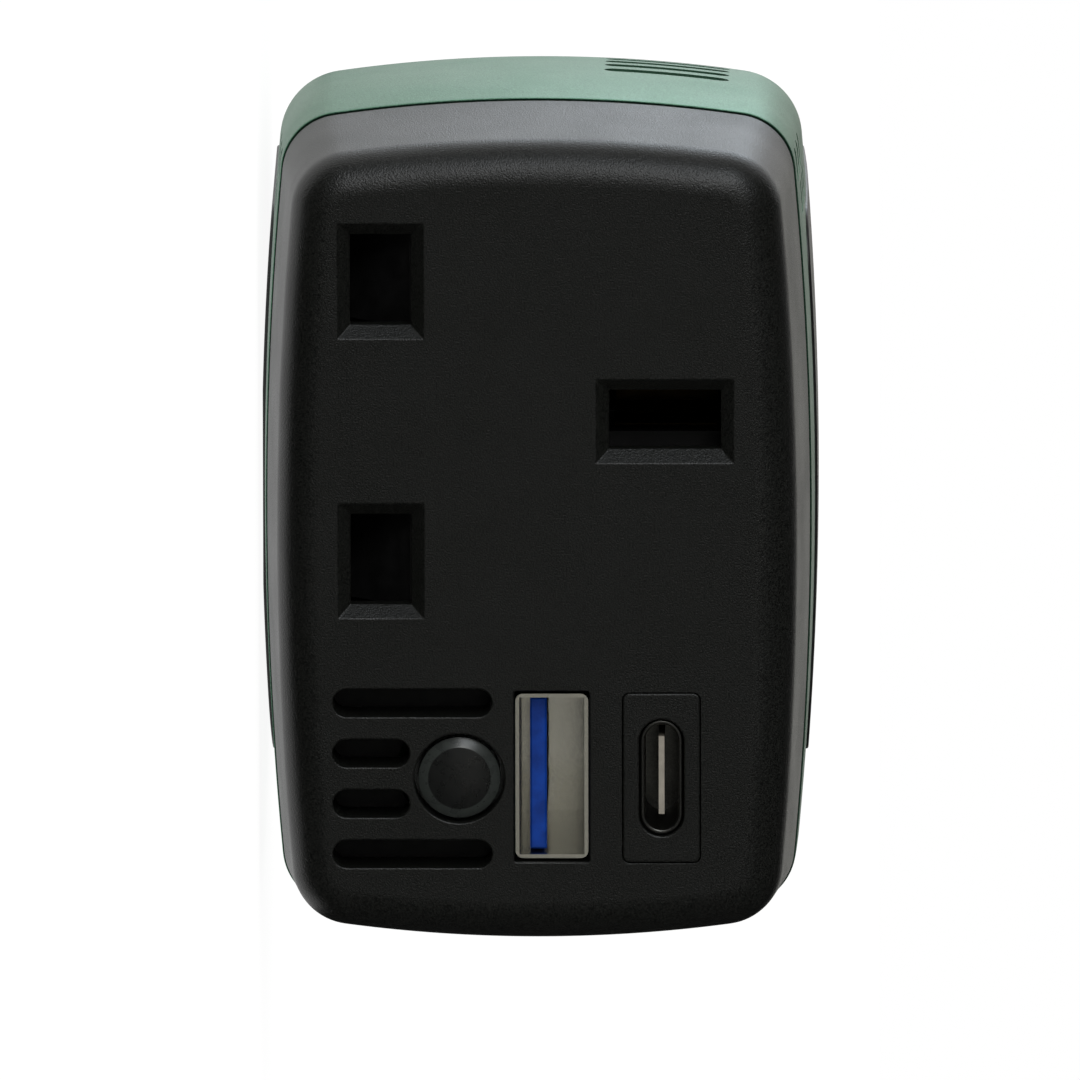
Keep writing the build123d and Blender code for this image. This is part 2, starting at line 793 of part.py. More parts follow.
with BuildPart() as charger_screws:
    cap_screws([(x, charger_post_z) for x in charger_post_x], charger_depth + board_thickness,
               small_head_radius, small_head_height, small_shank, small_screw_length, -1)
save(charger_screws.part, "charger_screws")

# Shutter: two sloping flags on one bar, pushed up by the live and neutral pins
with BuildPart() as socket_shutter:
    for left in (guide_left, guide_right - line_aperture_width - 2 * shutter_side_margin):
        with BuildSketch(side_plane(left)) as flag:
            with BuildLine():
                Polyline(
                    (shutter_front, shutter_high),
                    (shutter_front, shutter_high - shutter_lip),
                    (shutter_front + shutter_slope_run, shutter_low),
                    (shutter_front + shutter_slope_run + shutter_plate, shutter_low),
                    (shutter_front + shutter_bar_depth, shutter_high - shutter_lip),
                    (shutter_front + shutter_bar_depth, shutter_high),
                    close=True,
                )
            make_face()
        extrude(flag.sketch, amount=line_aperture_width + 2 * shutter_side_margin)
    block((guide_left + guide_right) / 2, shutter_high + shutter_bar_height / 2,
          guide_right - guide_left, shutter_bar_height, shutter_front,
          shutter_front + shutter_bar_depth)
save(socket_shutter.part, "socket_shutter")

# Shutter spring between the bar and the shelf of the front cap
spring_low = shutter_high + shutter_bar_height + spring_seat_gap + spring_wire / 2
spring_high = spring_shelf_z - spring_seat_gap - spring_wire / 2
spring_foot = (socket_x, face_y + shutter_front + shutter_bar_depth / 2, mid_z + spring_low)
with BuildPart() as shutter_spring:
    with BuildLine() as coil:
        Helix((spring_high - spring_low) / spring_turns, spring_high - spring_low,
              spring_radius, center=spring_foot)
    with BuildSketch(Plane(origin=coil.line @ 0, z_dir=coil.line % 0)):
        Circle(spring_wire / 2)
    sweep(is_frenet=True)
save(shutter_spring.part, "shutter_spring")

# Carrier: a flange on the front cap's posts, with a tower round each contact
tower_list = (
    (neutral_x, pin_row_z, line_pocket_width, line_pocket_height,
     line_aperture_width, line_aperture_height),
    (live_x, pin_row_z, line_pocket_width, line_pocket_height,
     line_aperture_width, line_aperture_height),
    (socket_x, earth_z, earth_pocket_width, earth_pocket_height,
     earth_aperture_width, earth_aperture_height),
)
carrier_left = neutral_x - line_pocket_width / 2 - tower_wall
carrier_right = live_x + line_pocket_width / 2 + tower_wall
carrier_low = pin_row_z - line_pocket_height / 2 - tower_wall
carrier_high = earth_z + earth_pocket_height / 2 + tower_wall
tower_front = carrier_depth + flange_thickness
with BuildPart() as socket_carrier:
    block((carrier_left + carrier_right) / 2, (carrier_low + carrier_high) / 2,
          carrier_right - carrier_left, carrier_high - carrier_low, carrier_depth, tower_front)
    for x, z, width, height, pin_width, pin_height in tower_list:
        block(x, z, width + 2 * tower_wall, height + 2 * tower_wall, tower_front, tower_back)
    for x, z, width, height, pin_width, pin_height in tower_list:
        block(x, z, width, height, tower_front, tower_back, mode=Mode.SUBTRACT)
        block(x, z, pin_width, pin_height, carrier_depth, tower_front, mode=Mode.SUBTRACT)
    corners = socket_carrier.edges().filter_by(Axis.Y)
    chamfer(corners.group_by(Axis.X)[0] + corners.group_by(Axis.X)[-1], tower_wall / 2)
    for x, z in socket_screws_at:
        disc(x, z, small_shank + screw_hole_clearance, carrier_depth, tower_front,
             mode=Mode.SUBTRACT)
save(socket_carrier.part, "socket_carrier")

with BuildPart() as socket_screws:
    cap_screws(socket_screws_at, tower_front, small_head_radius, small_head_height,
               small_shank, small_screw_length, -1)
save(socket_screws.part, "socket_screws")

# Contacts: sprung jaws that grip a pin, joined by a web with a tail for the wire
jaw_run = ((contact_mouth, jaw_flare), (contact_mouth + jaw_lead, jaw_gap),
           (contact_mouth + jaw_lead + jaw_length, jaw_gap), (contact_back - contact_metal, jaw_flare))


def contact_profile(plane):
    """Two mirrored jaws and the web behind them, drawn with the depth along the plane's x."""
    with BuildSketch(plane) as profile:
        for side in (-1, 1):
            inner = [(depth, side * gap) for depth, gap in jaw_run]
            outer = [(depth, side * (gap + contact_metal)) for depth, gap in reversed(jaw_run)]
            with BuildLine():
                Polyline(*inner, *outer, close=True)
            make_face()
        with Locations((contact_back - contact_metal / 2, 0)):
            Rectangle(contact_metal, 2 * (jaw_flare + contact_metal))
        with Locations((contact_back + contact_tail / 2, 0)):
            Rectangle(contact_tail, contact_metal)
    return profile.sketch


for name, x, z, height in (("neutral_contact", neutral_x, pin_row_z, line_pin_width),
                           ("live_contact", live_x, pin_row_z, line_pin_width)):
    level = Plane(origin=(x, face_y, mid_z + z), x_dir=(0, 1, 0), z_dir=(1, 0, 0))
    with BuildPart() as contact:
        extrude(contact_profile(level), amount=height / 2, both=True)
    save(contact.part, name)

earth_plane = Plane(origin=(socket_x, face_y, mid_z + earth_z), x_dir=(0, 1, 0), z_dir=(0, 0, 1))
with BuildPart() as earth_contact:
    extrude(contact_profile(earth_plane), amount=earth_pin_height / 2, both=True)
save(earth_contact.part, "earth_contact")

# Main board on the shell's posts, with its four screws
board_top = main_board_z + board_thickness
board_middle = (main_board_front + main_board_back) / 2
main_posts = [(x, depth) for x in (-main_post_x, main_post_x) for depth in
              (main_board_front + main_post_inset, main_board_back - main_post_inset)]
with BuildPart() as main_board:
    slab(0, board_middle, 2 * main_board_half, main_board_back - main_board_front,
         main_board_z, board_top)
    fillet(main_board.edges().filter_by(Axis.Z), board_corner)
    for x, depth in main_posts:
        post(x, depth, small_shank + screw_hole_clearance, main_board_z, board_top,
             mode=Mode.SUBTRACT)
save(main_board.part, "main_board")

with BuildPart() as main_board_screws:
    for x, depth in main_posts:
        post(x, depth, small_head_radius, board_top, board_top + small_head_height)
        post(x, depth, small_shank, board_top - board_screw_length, board_top)
save(main_board_screws.part, "main_board_screws")

# Transformer: a ferrite core with two windows and the winding round its middle leg
parts_floor = board_top + component_gap
core_z = parts_floor + core_height / 2
window_width = (core_width - core_leg) / 2 - core_yoke
window_height = core_height - 2 * core_yoke
with BuildPart() as transformer_core:
    block(core_x, core_z, core_width, core_height, core_centre - core_length / 2,
          core_centre + core_length / 2)
    for side in (-1, 1):
        block(core_x + side * (core_leg + window_width) / 2, core_z, window_width,
              window_height, core_centre - core_length / 2, core_centre + core_length / 2,
              mode=Mode.SUBTRACT)
save(transformer_core.part, "transformer_core")

with BuildPart() as transformer_winding:
    with BuildSketch(Plane.XY.offset(mid_z + core_z - window_height / 2 + winding_clearance)):
        with Locations((core_x, face_y + core_centre)):
            RectangleRounded(core_leg + 2 * window_width - 2 * winding_clearance,
                             core_length + 2 * winding_overhang, core_leg / 2)
            Rectangle(core_leg + 2 * winding_clearance, core_length + 2 * winding_clearance,
                      mode=Mode.SUBTRACT)
    extrude(amount=window_height - 2 * winding_clearance)
save(transformer_winding.part, "transformer_winding")


def can(depth, radius, height):
    """An electrolytic capacitor standing on the main board, with its crimped waist."""
    foot = Plane(origin=(can_x, face_y + depth, mid_z + parts_floor), x_dir=(1, 0, 0),
                 z_dir=(0, -1, 0))
    with BuildSketch(foot) as half:
        with BuildLine():
            waist = 2 * can_edge
            Polyline((0, 0), (radius, 0), (radius, waist), (radius - can_groove, waist + can_groove),
                     (radius, waist + 2 * can_groove), (radius, height - can_edge),
                     (radius - can_edge, height), (0, height), close=True)
        make_face()
    revolve(half.sketch, axis=Axis((can_x, face_y + depth, mid_z), (0, 0, 1)))


with BuildPart() as input_capacitors:
    for depth in input_can_depths:
        can(depth, input_can_radius, input_can_height)
save(input_capacitors.part, "input_capacitors")

with BuildPart() as output_capacitor:
    can(output_can_depth, output_can_radius, output_can_height)
save(output_capacitor.part, "output_capacitor")

# Heat sink: an upright plate with fins towards the side of the case
with BuildPart() as heat_sink:
    slab(sink_x, sink_depth, sink_base, sink_length, parts_floor, parts_floor + sink_height)
    for i in range(sink_fins):
        level = parts_floor + i * (sink_height - sink_fin) / (sink_fins - 1)
        slab(sink_x - (sink_base + sink_fin_reach) / 2, sink_depth, sink_fin_reach, sink_length,
             level, level + sink_fin)
save(heat_sink.part, "heat_sink")

# Power transistors with their tabs against the heat sink
sink_face = sink_x + sink_base / 2
body_low = parts_floor + transistor_lead
with BuildPart() as power_transistors:
    for i in range(transistor_count):
        depth = sink_depth + (i - (transistor_count - 1) / 2) * transistor_pitch
        slab(sink_face + transistor_tab_thickness / 2, depth, transistor_tab_thickness,
             transistor_width, body_low, body_low + transistor_height + transistor_tab)
        slab(sink_face + transistor_tab_thickness + transistor_thickness / 2, depth,
             transistor_thickness, transistor_width, body_low, body_low + transistor_height)
        for lead in (-1, 0, 1):
            slab(sink_face + transistor_tab_thickness + transistor_thickness / 2,
                 depth + lead * transistor_lead_pitch, transistor_lead_size,
                 transistor_lead_size, parts_floor, body_low)
save(power_transistors.part, "power_transistors")

# Blade fuse: a body with a wider head
with BuildPart() as blade_fuse:
    slab(fuse_x, fuse_depth, fuse_width, fuse_thickness, parts_floor + fuse_height / 2,
         parts_floor + fuse_height)
    slab(fuse_x, fuse_depth, fuse_width - fuse_thickness, fuse_thickness - fuse_waist, parts_floor,
         parts_floor + fuse_height / 2)
save(blade_fuse.part, "blade_fuse")

# Filter choke: a toroid standing on its edge
with BuildPart() as filter_choke:
    disc(choke_x, parts_floor + choke_radius, choke_radius, choke_depth - choke_height / 2,
         choke_depth + choke_height / 2)
    disc(choke_x, parts_floor + choke_radius, choke_hole, choke_depth - choke_height / 2,
         choke_depth + choke_height / 2, mode=Mode.SUBTRACT)
    fillet(filter_choke.edges().filter_by(GeomType.CIRCLE), choke_edge)
save(filter_choke.part, "filter_choke")

# Fan frame: a square duct with a stator plate, three struts and a bearing tube
rear_wall = rear_back - cap_wall
fan_back = rear_wall - fan_standoff
fan_front = fan_back - fan_thickness
stator_front = fan_back - fan_stator_thickness
fan_corners = [(fan_x + sx * fan_hole_offset, sz * fan_hole_offset)
               for sx in (-1, 1) for sz in (-1, 1)]
with BuildPart() as fan_frame:
    with BuildSketch(plane_at(fan_front)) as square:
        with Locations((fan_x, 0)):
            RectangleRounded(fan_size, fan_size, fan_corner)
    extrude(square.sketch, amount=-fan_thickness)
    disc(fan_x, 0, fan_bore_radius, fan_front, fan_back, mode=Mode.SUBTRACT)
    disc(fan_x, 0, fan_stator_radius, stator_front, fan_back)
    for i in range(3):
        with BuildSketch(plane_at(stator_front)) as strut:
            with Locations((fan_x, 0)):
                with PolarLocations(fan_bore_radius / 2 + fan_stator_radius / 2, 1,
                                    start_angle=90 + 120 * i):
                    Rectangle(fan_bore_radius - fan_stator_radius + 2 * fan_strut_bite,
                              fan_strut_width)
        extrude(strut.sketch, amount=-fan_stator_thickness)
    disc(fan_x, 0, bearing_radius, stator_front - bearing_length, stator_front)
    disc(fan_x, 0, shaft_radius + shaft_clearance, stator_front - bearing_length,
         stator_front, mode=Mode.SUBTRACT)
    for x, z in fan_corners:
        disc(x, z, fan_screw_shank + screw_hole_clearance, fan_front, fan_back,
             mode=Mode.SUBTRACT)
save(fan_frame.part, "fan_frame")

# Fan rotor: a cup with a shaft and seven twisted blades
hub_front = fan_front + hub_front_gap
hub_back = stator_front - hub_back_gap
blade_middle = (hub_front + hub_back) / 2


def blade_section(turn, radius, angle):
    """A thin tilted rectangle at a radius, square to the spoke at that turn."""
    spoke = (cos(turn), 0, sin(turn))
    centre = (fan_x + radius * spoke[0], face_y + blade_middle, mid_z + radius * spoke[2])
    with BuildSketch(Plane(origin=centre, x_dir=(0, 1, 0), z_dir=spoke)) as section:
        Rectangle(blade_chord, blade_thickness, rotation=angle)
    return section.sketch


with BuildPart() as fan_rotor:
    disc(fan_x, 0, hub_radius, hub_front, hub_back)
    for i in range(blade_count):
        turn = 2 * pi * i / blade_count
        loft(sections=[blade_section(turn, hub_radius - hub_wall / 2, blade_root_angle),
                       blade_section(turn, blade_tip_radius, blade_tip_angle)], ruled=True)
    disc(fan_x, 0, hub_radius - hub_wall, hub_front + hub_wall, hub_back, mode=Mode.SUBTRACT)
    disc(fan_x, 0, shaft_radius, hub_front + hub_wall / 2, hub_back)
save(fan_rotor.part, "fan_rotor")

with BuildPart() as fan_screws:
    cap_screws(fan_corners, fan_front, fan_screw_head, fan_screw_head_height,
               fan_screw_shank, fan_thickness + fan_standoff + cap_wall / 2, 1)
save(fan_screws.part, "fan_screws")

# Rear cap: drafted shell with the fan grille, the cable inlet and the screw pillars
mouth_stations = (shell_length - spigot_reach - overrun, shell_length,
                  shell_length + spigot_root + overrun)
with BuildPart() as rear_spigot:
    spigot(mouth_stations, shell_back - spigot_reach, rear_front + spigot_root)

with BuildPart() as pillar_feet:
    for x, z in case_screw_places:
        disc(x, z, case_boss_radius, shell_back - spigot_reach, rear_front + spigot_root)
    loft(sections=[shell_outline(d, spigot_inset) for d in mouth_stations],
         mode=Mode.INTERSECT)

with BuildPart() as rear_cap:
    loft(sections=[rear_outline(rear_front, 0), rear_outline(rear_back, 0)], ruled=True)
    fillet(rear_cap.faces().sort_by(Axis.Y)[-1].edges(), rear_edge_radius)
    loft(sections=[rear_outline(rear_front, cap_wall), rear_outline(rear_wall, cap_wall)],
         ruled=True, mode=Mode.SUBTRACT)
    add(rear_spigot.part)
    add(pillar_feet.part)
    for x, z in case_screw_places:
        disc(x, z, case_boss_radius, rear_front, rear_back - case_screw_recess)
    for x, z in case_screw_places:
        disc(x, z, case_screw_shank + screw_hole_clearance, shell_back - spigot_reach,
             rear_back, mode=Mode.SUBTRACT)
        disc(x, z, case_screw_head + screw_hole_clearance, rear_back - case_screw_recess,
             rear_back, mode=Mode.SUBTRACT)
    for x, z in fan_corners:
        disc(x, z, fan_post_radius, fan_back, rear_wall + fan_post_root)
        disc(x, z, fan_screw_shank + thread_clearance, fan_back,
             rear_wall + fan_thread_depth, mode=Mode.SUBTRACT)
    for i in range(grille_rows):
        z = (i - (grille_rows - 1) / 2) * grille_pitch
        with BuildSketch(plane_at(rear_back)) as grille:
            with Locations((fan_x, z)):
                SlotOverall(2 * sqrt(grille_radius**2 - z**2), grille_slot_width)
        extrude(grille.sketch, amount=2 * cap_wall, both=True, mode=Mode.SUBTRACT)
    disc(inlet_x, 0, inlet_neck_radius + inlet_clearance, rear_wall - overrun, rear_back,
         mode=Mode.SUBTRACT)
save(rear_cap.part, "rear_cap")

with BuildPart() as case_screws:
    cap_screws(case_screw_places, rear_back - case_screw_recess, case_screw_head,
               case_screw_head_height, case_screw_shank, case_screw_length, -1)
save(case_screws.part, "case_screws")

# Inlet bush: a grommet with a rounded mouth for the supply lead
inlet_plane = Plane(origin=(inlet_x, face_y, mid_z), z_dir=(0, 0, 1))
with BuildPart() as inlet_bush:
    with BuildSketch(inlet_plane) as half:
        with BuildLine():
            Polyline(
                (inlet_bore_radius, rear_wall - inlet_back),
                (inlet_flange_radius - inlet_soft, rear_wall - inlet_back),
                (inlet_flange_radius, rear_wall), (inlet_neck_radius, rear_wall),
                (inlet_neck_radius, rear_back), (inlet_flange_radius, rear_back),
                (inlet_flange_radius, rear_back + inlet_flange - inlet_soft),
                (inlet_flange_radius - inlet_soft, rear_back + inlet_flange),
                (inlet_bore_radius, rear_back + inlet_flange), close=True,
            )
        make_face()
    revolve(axis=Axis((inlet_x, 0, mid_z), (0, 1, 0)))
save(inlet_bush.part, "inlet_bush")
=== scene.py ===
import json
from math import cos, pi, radians, sin, sqrt, tan

import bmesh
import bpy
import numpy as np
from mathutils import Matrix, Vector


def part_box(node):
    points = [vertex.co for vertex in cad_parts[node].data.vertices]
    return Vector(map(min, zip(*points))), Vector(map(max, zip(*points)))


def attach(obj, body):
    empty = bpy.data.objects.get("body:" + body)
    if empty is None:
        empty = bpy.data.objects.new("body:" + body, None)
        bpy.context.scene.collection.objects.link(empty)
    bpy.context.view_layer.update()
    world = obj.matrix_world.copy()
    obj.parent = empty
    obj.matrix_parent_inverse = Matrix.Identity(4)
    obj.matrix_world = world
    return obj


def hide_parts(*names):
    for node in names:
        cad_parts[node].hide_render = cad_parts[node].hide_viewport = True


# Dressed model of a compact car power inverter, lying on its lower pad, its front towards -Y.
# Sizes are in millimetres until a mesh is made. Depth runs from the front face towards +Y,
# x and z are counted from the axis of the case, and the frame gives where that axis is.

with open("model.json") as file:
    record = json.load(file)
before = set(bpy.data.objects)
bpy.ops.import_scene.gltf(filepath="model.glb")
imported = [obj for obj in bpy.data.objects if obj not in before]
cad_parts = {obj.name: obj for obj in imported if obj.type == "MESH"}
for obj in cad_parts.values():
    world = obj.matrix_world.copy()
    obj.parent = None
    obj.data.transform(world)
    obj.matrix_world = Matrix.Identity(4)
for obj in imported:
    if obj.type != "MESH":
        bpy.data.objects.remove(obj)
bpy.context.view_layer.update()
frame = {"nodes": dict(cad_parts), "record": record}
MM = 0.001


def extent(node):
    """Lowest and highest corner of a CAD node, in millimetres."""
    return [np.array(corner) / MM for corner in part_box(node)]


cap_low, cap_high = extent("front_cap")
shell_low, shell_high = extent("shell")
rear_high = extent("rear_cap")[1]
bush_low, bush_high = extent("inlet_bush")
button_low, button_high = extent("power_button")
face_y = cap_low[1]
mid_z = (cap_low[2] + cap_high[2]) / 2
shell_front = shell_low[1] - face_y
shell_back = shell_high[1] - face_y
rear_back = rear_high[1] - face_y
rest_middle_y = (shell_low[1] + shell_high[1]) / 2

# Sizes of the case
body_width = 65.7
body_height = 42.9
seam_gap = 0.35
long_side_radius = 295.0
short_side_radius = 112.0
corner_radius = 4.75
corner_growth = 0.02
side_flare = 0.051
side_curve_radius = 130.0
top_flare = 0.03
top_curve_radius = 600.0
shell_wall = 1.8
cap_wall = 2.2
face_wall = 2.4
cap_draft = radians(4.6)
cap_edge_radius = 3.3
rim_step = 0.12
rim_round = 0.25
shell_round = 0.06
mouth_slope = 1.6
rear_side_draft = radians(17.0)
rear_top_draft = radians(6.0)
rear_edge_radius = 3.0
spigot_wall = 1.2
spigot_clearance = 0.1
spigot_reach = 2.0
spigot_root = 1.0
wall_turn = 2.0
flat_insets = (0.5, 0.05)
least_corner = 0.05
around_long, around_corner, around_short = 34, 16, 22
edge_steps, flank_steps, rim_steps = 15, 14, 5
rear_edge_steps, rear_flank_steps = 13, 10
shell_length = shell_back - shell_front
cap_depth = shell_front - seam_gap
rear_front = shell_back + seam_gap
sharp_angle = 35.0

# Where the button's dome meets its ring, for the shape and for the painted sheen that makes the
# ring paler
button_shoulder_radius = 2.45
button_shoulder_blend = 0.05


# Shapes worked out on grids

def bow(half_length, radius):
    """How far a bowed side stands out at its middle: the circle's radius less its chord height."""
    return radius - np.sqrt(radius**2 - half_length**2)


def swell(distance, flare, radius):
    """Outward offset of the shell behind its front edge: a slope less a parabola."""
    return flare * distance - distance**2 / (2 * radius)


def outlines(half_width, half_height, corner):
    """Loops of a rounded rectangle with bowed sides, one for each entry of the three arrays.

    Each side is an arc of its own radius. A corner's circle touches both arcs from inside, so
    its middle lies where circles of (side radius - corner radius) about the arcs' middles
    meet. One quarter is drawn by angle along the three arcs and mirrored three times.
    """
    half_width, half_height, corner = np.broadcast_arrays(
        *[np.atleast_1d(np.asarray(v, float)) for v in (half_width, half_height, corner)])
    top = np.stack([np.zeros_like(half_height), half_height - long_side_radius], -1)
    side = np.stack([half_width - short_side_radius, np.zeros_like(half_width)], -1)
    reach_top = (long_side_radius - corner)[:, None]
    reach_side = (short_side_radius - corner)[:, None]
    apart = side - top
    span = np.linalg.norm(apart, axis=1)[:, None]
    along = (span**2 + reach_top**2 - reach_side**2) / (2 * span)
    height = np.sqrt(np.maximum(reach_top**2 - along**2, 0))
    unit = apart / span
    square = np.stack([-unit[:, 1], unit[:, 0]], -1)
    middle = top + unit * along + square * height
    other = top + unit * along - square * height
    middle = np.where((middle.sum(1) > other.sum(1))[:, None], middle, other)
    angle_top = np.arctan2(*(middle - top).T[::-1])
    angle_side = np.arctan2(*(middle - side).T[::-1])

    def arc(centre, radius, start, end, count, last):
        turn = start[:, None] + (end - start)[:, None] * np.linspace(0, 1, count, endpoint=last)
        ray = np.stack([np.cos(turn), np.sin(turn)], -1)
        return centre[:, None] + radius[:, None, None] * ray

    level = np.zeros_like(angle_top)
    sides = np.full_like(angle_top, short_side_radius)
    tops = np.full_like(angle_top, long_side_radius)
    quarter = np.concatenate([
        arc(side, sides, level, angle_side, around_short, False),
        arc(middle, corner, angle_side, angle_top, around_corner, False),
        arc(top, tops, angle_top, level + pi / 2, around_long, True)], axis=1)
    back = quarter[:, -2::-1]
    half = np.concatenate([quarter, back * [-1, 1]], axis=1)
    return np.concatenate([half, half[:, -2:0:-1] * [1, -1]], axis=1)


def rounded_boxes(width, height, corner, steps=8):
    """Loops of a plain rounded rectangle: four corner arcs joined by straight sides."""
    width, height, corner = np.broadcast_arrays(
        *[np.atleast_1d(np.asarray(v, float)) for v in (width, height, corner)])
    turns = np.concatenate([np.linspace(q, q + 1, steps) for q in range(4)]) * pi / 2
    signs = np.repeat([(1, 1), (-1, 1), (-1, -1), (1, -1)], steps, axis=0)
    ray = np.stack([np.cos(turns), np.sin(turns)], -1)
    centre = np.stack([width / 2 - corner, height / 2 - corner], -1)
    return signs[None] * centre[:, None] + corner[:, None, None] * ray[None]


def fine_sides(loops, count):
    """The same loops with evenly spaced points added along their four straight sides."""
    steps = loops.shape[1] // 4
    share = np.linspace(0, 1, count + 2)[1:-1][None, :, None]
    pieces = []
    for q in range(4):
        start = loops[:, (q + 1) * steps - 1][:, None]
        end = loops[:, (q + 1) * steps % loops.shape[1]][:, None]
        pieces += [loops[:, q * steps:(q + 1) * steps], start + (end - start) * share]
    return np.concatenate(pieces, axis=1)


def placed(loops, depth, x=0.0, z=0.0):
    """Loops drawn seen from the front, put at their depths: the second coordinate is z."""
    depth = np.broadcast_to(np.asarray(depth, float), loops.shape[:1])
    y = np.repeat(depth[:, None] + face_y, loops.shape[1], axis=1)
    return np.stack([loops[..., 0] + x, y, loops[..., 1] + z + mid_z], -1)


def quarter_round(radius, start, end, count):
    """Offsets of a round edge: (cos, sin) times its radius between two angles."""
    turn = np.linspace(start, end, count)
    return radius * np.cos(turn), radius * np.sin(turn)


def grid_mesh(name, rings, loop=False):
    """A mesh through rings of points: quads between neighbours, then two flat ends or a loop."""
    count, size = rings.shape[:2]
    index = np.arange(count * size).reshape(count, size)
    follow = np.roll(index, -1, axis=0) if loop else index[1:]
    here = index if loop else index[:-1]
    quads = np.stack([here, np.roll(here, -1, axis=1), np.roll(follow, -1, axis=1), follow], -1)
    faces = quads.reshape(-1, 4).tolist()
    if not loop:
        faces += [index[0, ::-1].tolist(), index[-1].tolist()]
    mesh = bpy.data.meshes.new(name)
    mesh.from_pydata((rings.reshape(-1, 3) * MM).tolist(), [], faces)
    work = bmesh.new()
    work.from_mesh(mesh)
    bmesh.ops.remove_doubles(work, verts=work.verts, dist=1e-7)
    bmesh.ops.recalc_face_normals(work, faces=work.faces)
    work.to_mesh(mesh)
    work.free()
    return mesh


def make(name, mesh, sharp=sharp_angle):
    """An object of a mesh, smooth except at edges sharper than an angle in degrees."""
    mesh.polygons.foreach_set("use_smooth", [True] * len(mesh.polygons))
    mesh.set_sharp_from_angle(angle=radians(sharp))
    made = bpy.data.objects.new(name, mesh)
    bpy.context.scene.collection.objects.link(made)
    return made


def applied(thing):
    """The object's mesh with its modifiers worked in, in place of the old one."""
    graph = bpy.context.evaluated_depsgraph_get()
    mesh = bpy.data.meshes.new_from_object(thing.evaluated_get(graph))
    thing.modifiers.clear()
    thing.data = mesh
    return thing


def cut(thing, tools):
    """Takes tool meshes out of an object, all in one exact Boolean."""
    work = bmesh.new()
    for mesh in tools:
        work.from_mesh(mesh)
    joined = bpy.data.meshes.new("cutter")
    work.to_mesh(joined)
    work.free()
    cutter = bpy.data.objects.new("cutter", joined)
    bpy.context.scene.collection.objects.link(cutter)
    boolean = thing.modifiers.new("cut", "BOOLEAN")
    boolean.operation, boolean.solver, boolean.object = "DIFFERENCE", "EXACT", cutter
    applied(thing)
    bpy.data.objects.remove(cutter)
    for mesh in [*tools, joined]:
        bpy.data.meshes.remove(mesh)
    thing.data.polygons.foreach_set("use_smooth", [True] * len(thing.data.polygons))
    thing.data.set_sharp_from_angle(angle=radians(sharp_angle))
    return thing


def even_normals(thing):
    """Lets large flat faces set the shading beside small round ones."""
    weigh = thing.modifiers.new("even_normals", "WEIGHTED_NORMAL")
    weigh.keep_sharp = True
    weigh.weight = 100


# Nodes and colours

noise_low, noise_high = 0.3, 0.7
ramp_low, ramp_high = 0.35, 0.65
wave_rate = 20


def linear(code):
    """An sRGB hex colour as linear red, green, blue and full alpha."""
    parts = [int(code[i:i + 2], 16) / 255 for i in (1, 3, 5)]
    return [p / 12.92 if p <= 0.04045 else ((p + 0.055) / 1.055) ** 2.4 for p in parts] + [1.0]


def add(tree, kind, links=None, **settings):
    """Adds a node: settings are its properties or input values, links its incoming sockets."""
    made = tree.nodes.new(kind)
    for key, value in settings.items():
        if key in made.bl_rna.properties:
            setattr(made, key, value)
        else:
            made.inputs[key.replace("_", " ")].default_value = value
    for key, socket in (links or {}).items():
        tree.links.new(socket, made.inputs[key])
    return made


def empty_material(name):
    """A material with only an output and object coordinates, in metres."""
    material = bpy.data.materials.new(name)
    material.use_nodes = True
    tree = material.node_tree
    tree.nodes.clear()
    return material, tree, add(tree, "ShaderNodeTexCoord").outputs["Object"]


def grain(tree, place, size, detail=2.0, roughness=0.5):
    """Noise whose features are about a size in millimetres across."""
    return add(tree, "ShaderNodeTexNoise", {"Vector": place}, Scale=1 / (size * MM),
               Detail=detail, Roughness=roughness).outputs["Fac"]


def bands(tree, place, size, **settings):
    """Parallel swells that repeat after 2 pi times a size in millimetres."""
    return add(tree, "ShaderNodeTexWave", {"Vector": place}, Scale=1 / (wave_rate * size * MM),
               **settings).outputs["Fac"]


def spread(tree, factor, low, high):
    """Maps the middle of a noise onto a range of plain numbers."""
    return add(tree, "ShaderNodeMapRange", {"Value": factor}, From_Min=noise_low,
               From_Max=noise_high, To_Min=low, To_Max=high).outputs["Result"]


def shades(tree, factor, dark, light):
    """Colours between two hex values over the middle of a noise."""
    ramp = add(tree, "ShaderNodeValToRGB", {"Fac": factor})
    for stop, position, code in zip(ramp.color_ramp.elements, (ramp_low, ramp_high),
                                    (dark, light)):
        stop.position, stop.color = position, linear(code)
    return ramp.outputs["Color"]


def relief(tree, height, depth):
    """Bump of a depth in millimetres."""
    return add(tree, "ShaderNodeBump", {"Height": height},
               Distance=depth * MM).outputs["Normal"]


def surface(tree, colour, roughness, normal, **constants):
    """The principled shader and the output; constants go on the shader's own sockets."""
    shader = add(tree, "ShaderNodeBsdfPrincipled",
                 {"Base Color": colour, "Roughness": roughness, "Normal": normal}, **constants)
    add(tree, "ShaderNodeOutputMaterial", {"Surface": shader.outputs["BSDF"]})


def spark_eroded_abs():
    """Black ABS from a spark-eroded mould: fine even grain, dark and satin.

    The mould's pits are about 0.05 mm wide and are drawn at 0.13 mm, so that they show.
    """
    material, tree, place = empty_material("spark_eroded_abs")
    fine = grain(tree, place, 0.13, 2.0)
    broad = grain(tree, place, 6.0, 2.0)
    normal = relief(tree, fine, 0.045)
    surface(tree, shades(tree, fine, "#060705", "#1d1e1b"), spread(tree, broad, 0.34, 0.4),
            normal, IOR=1.5)
    return material


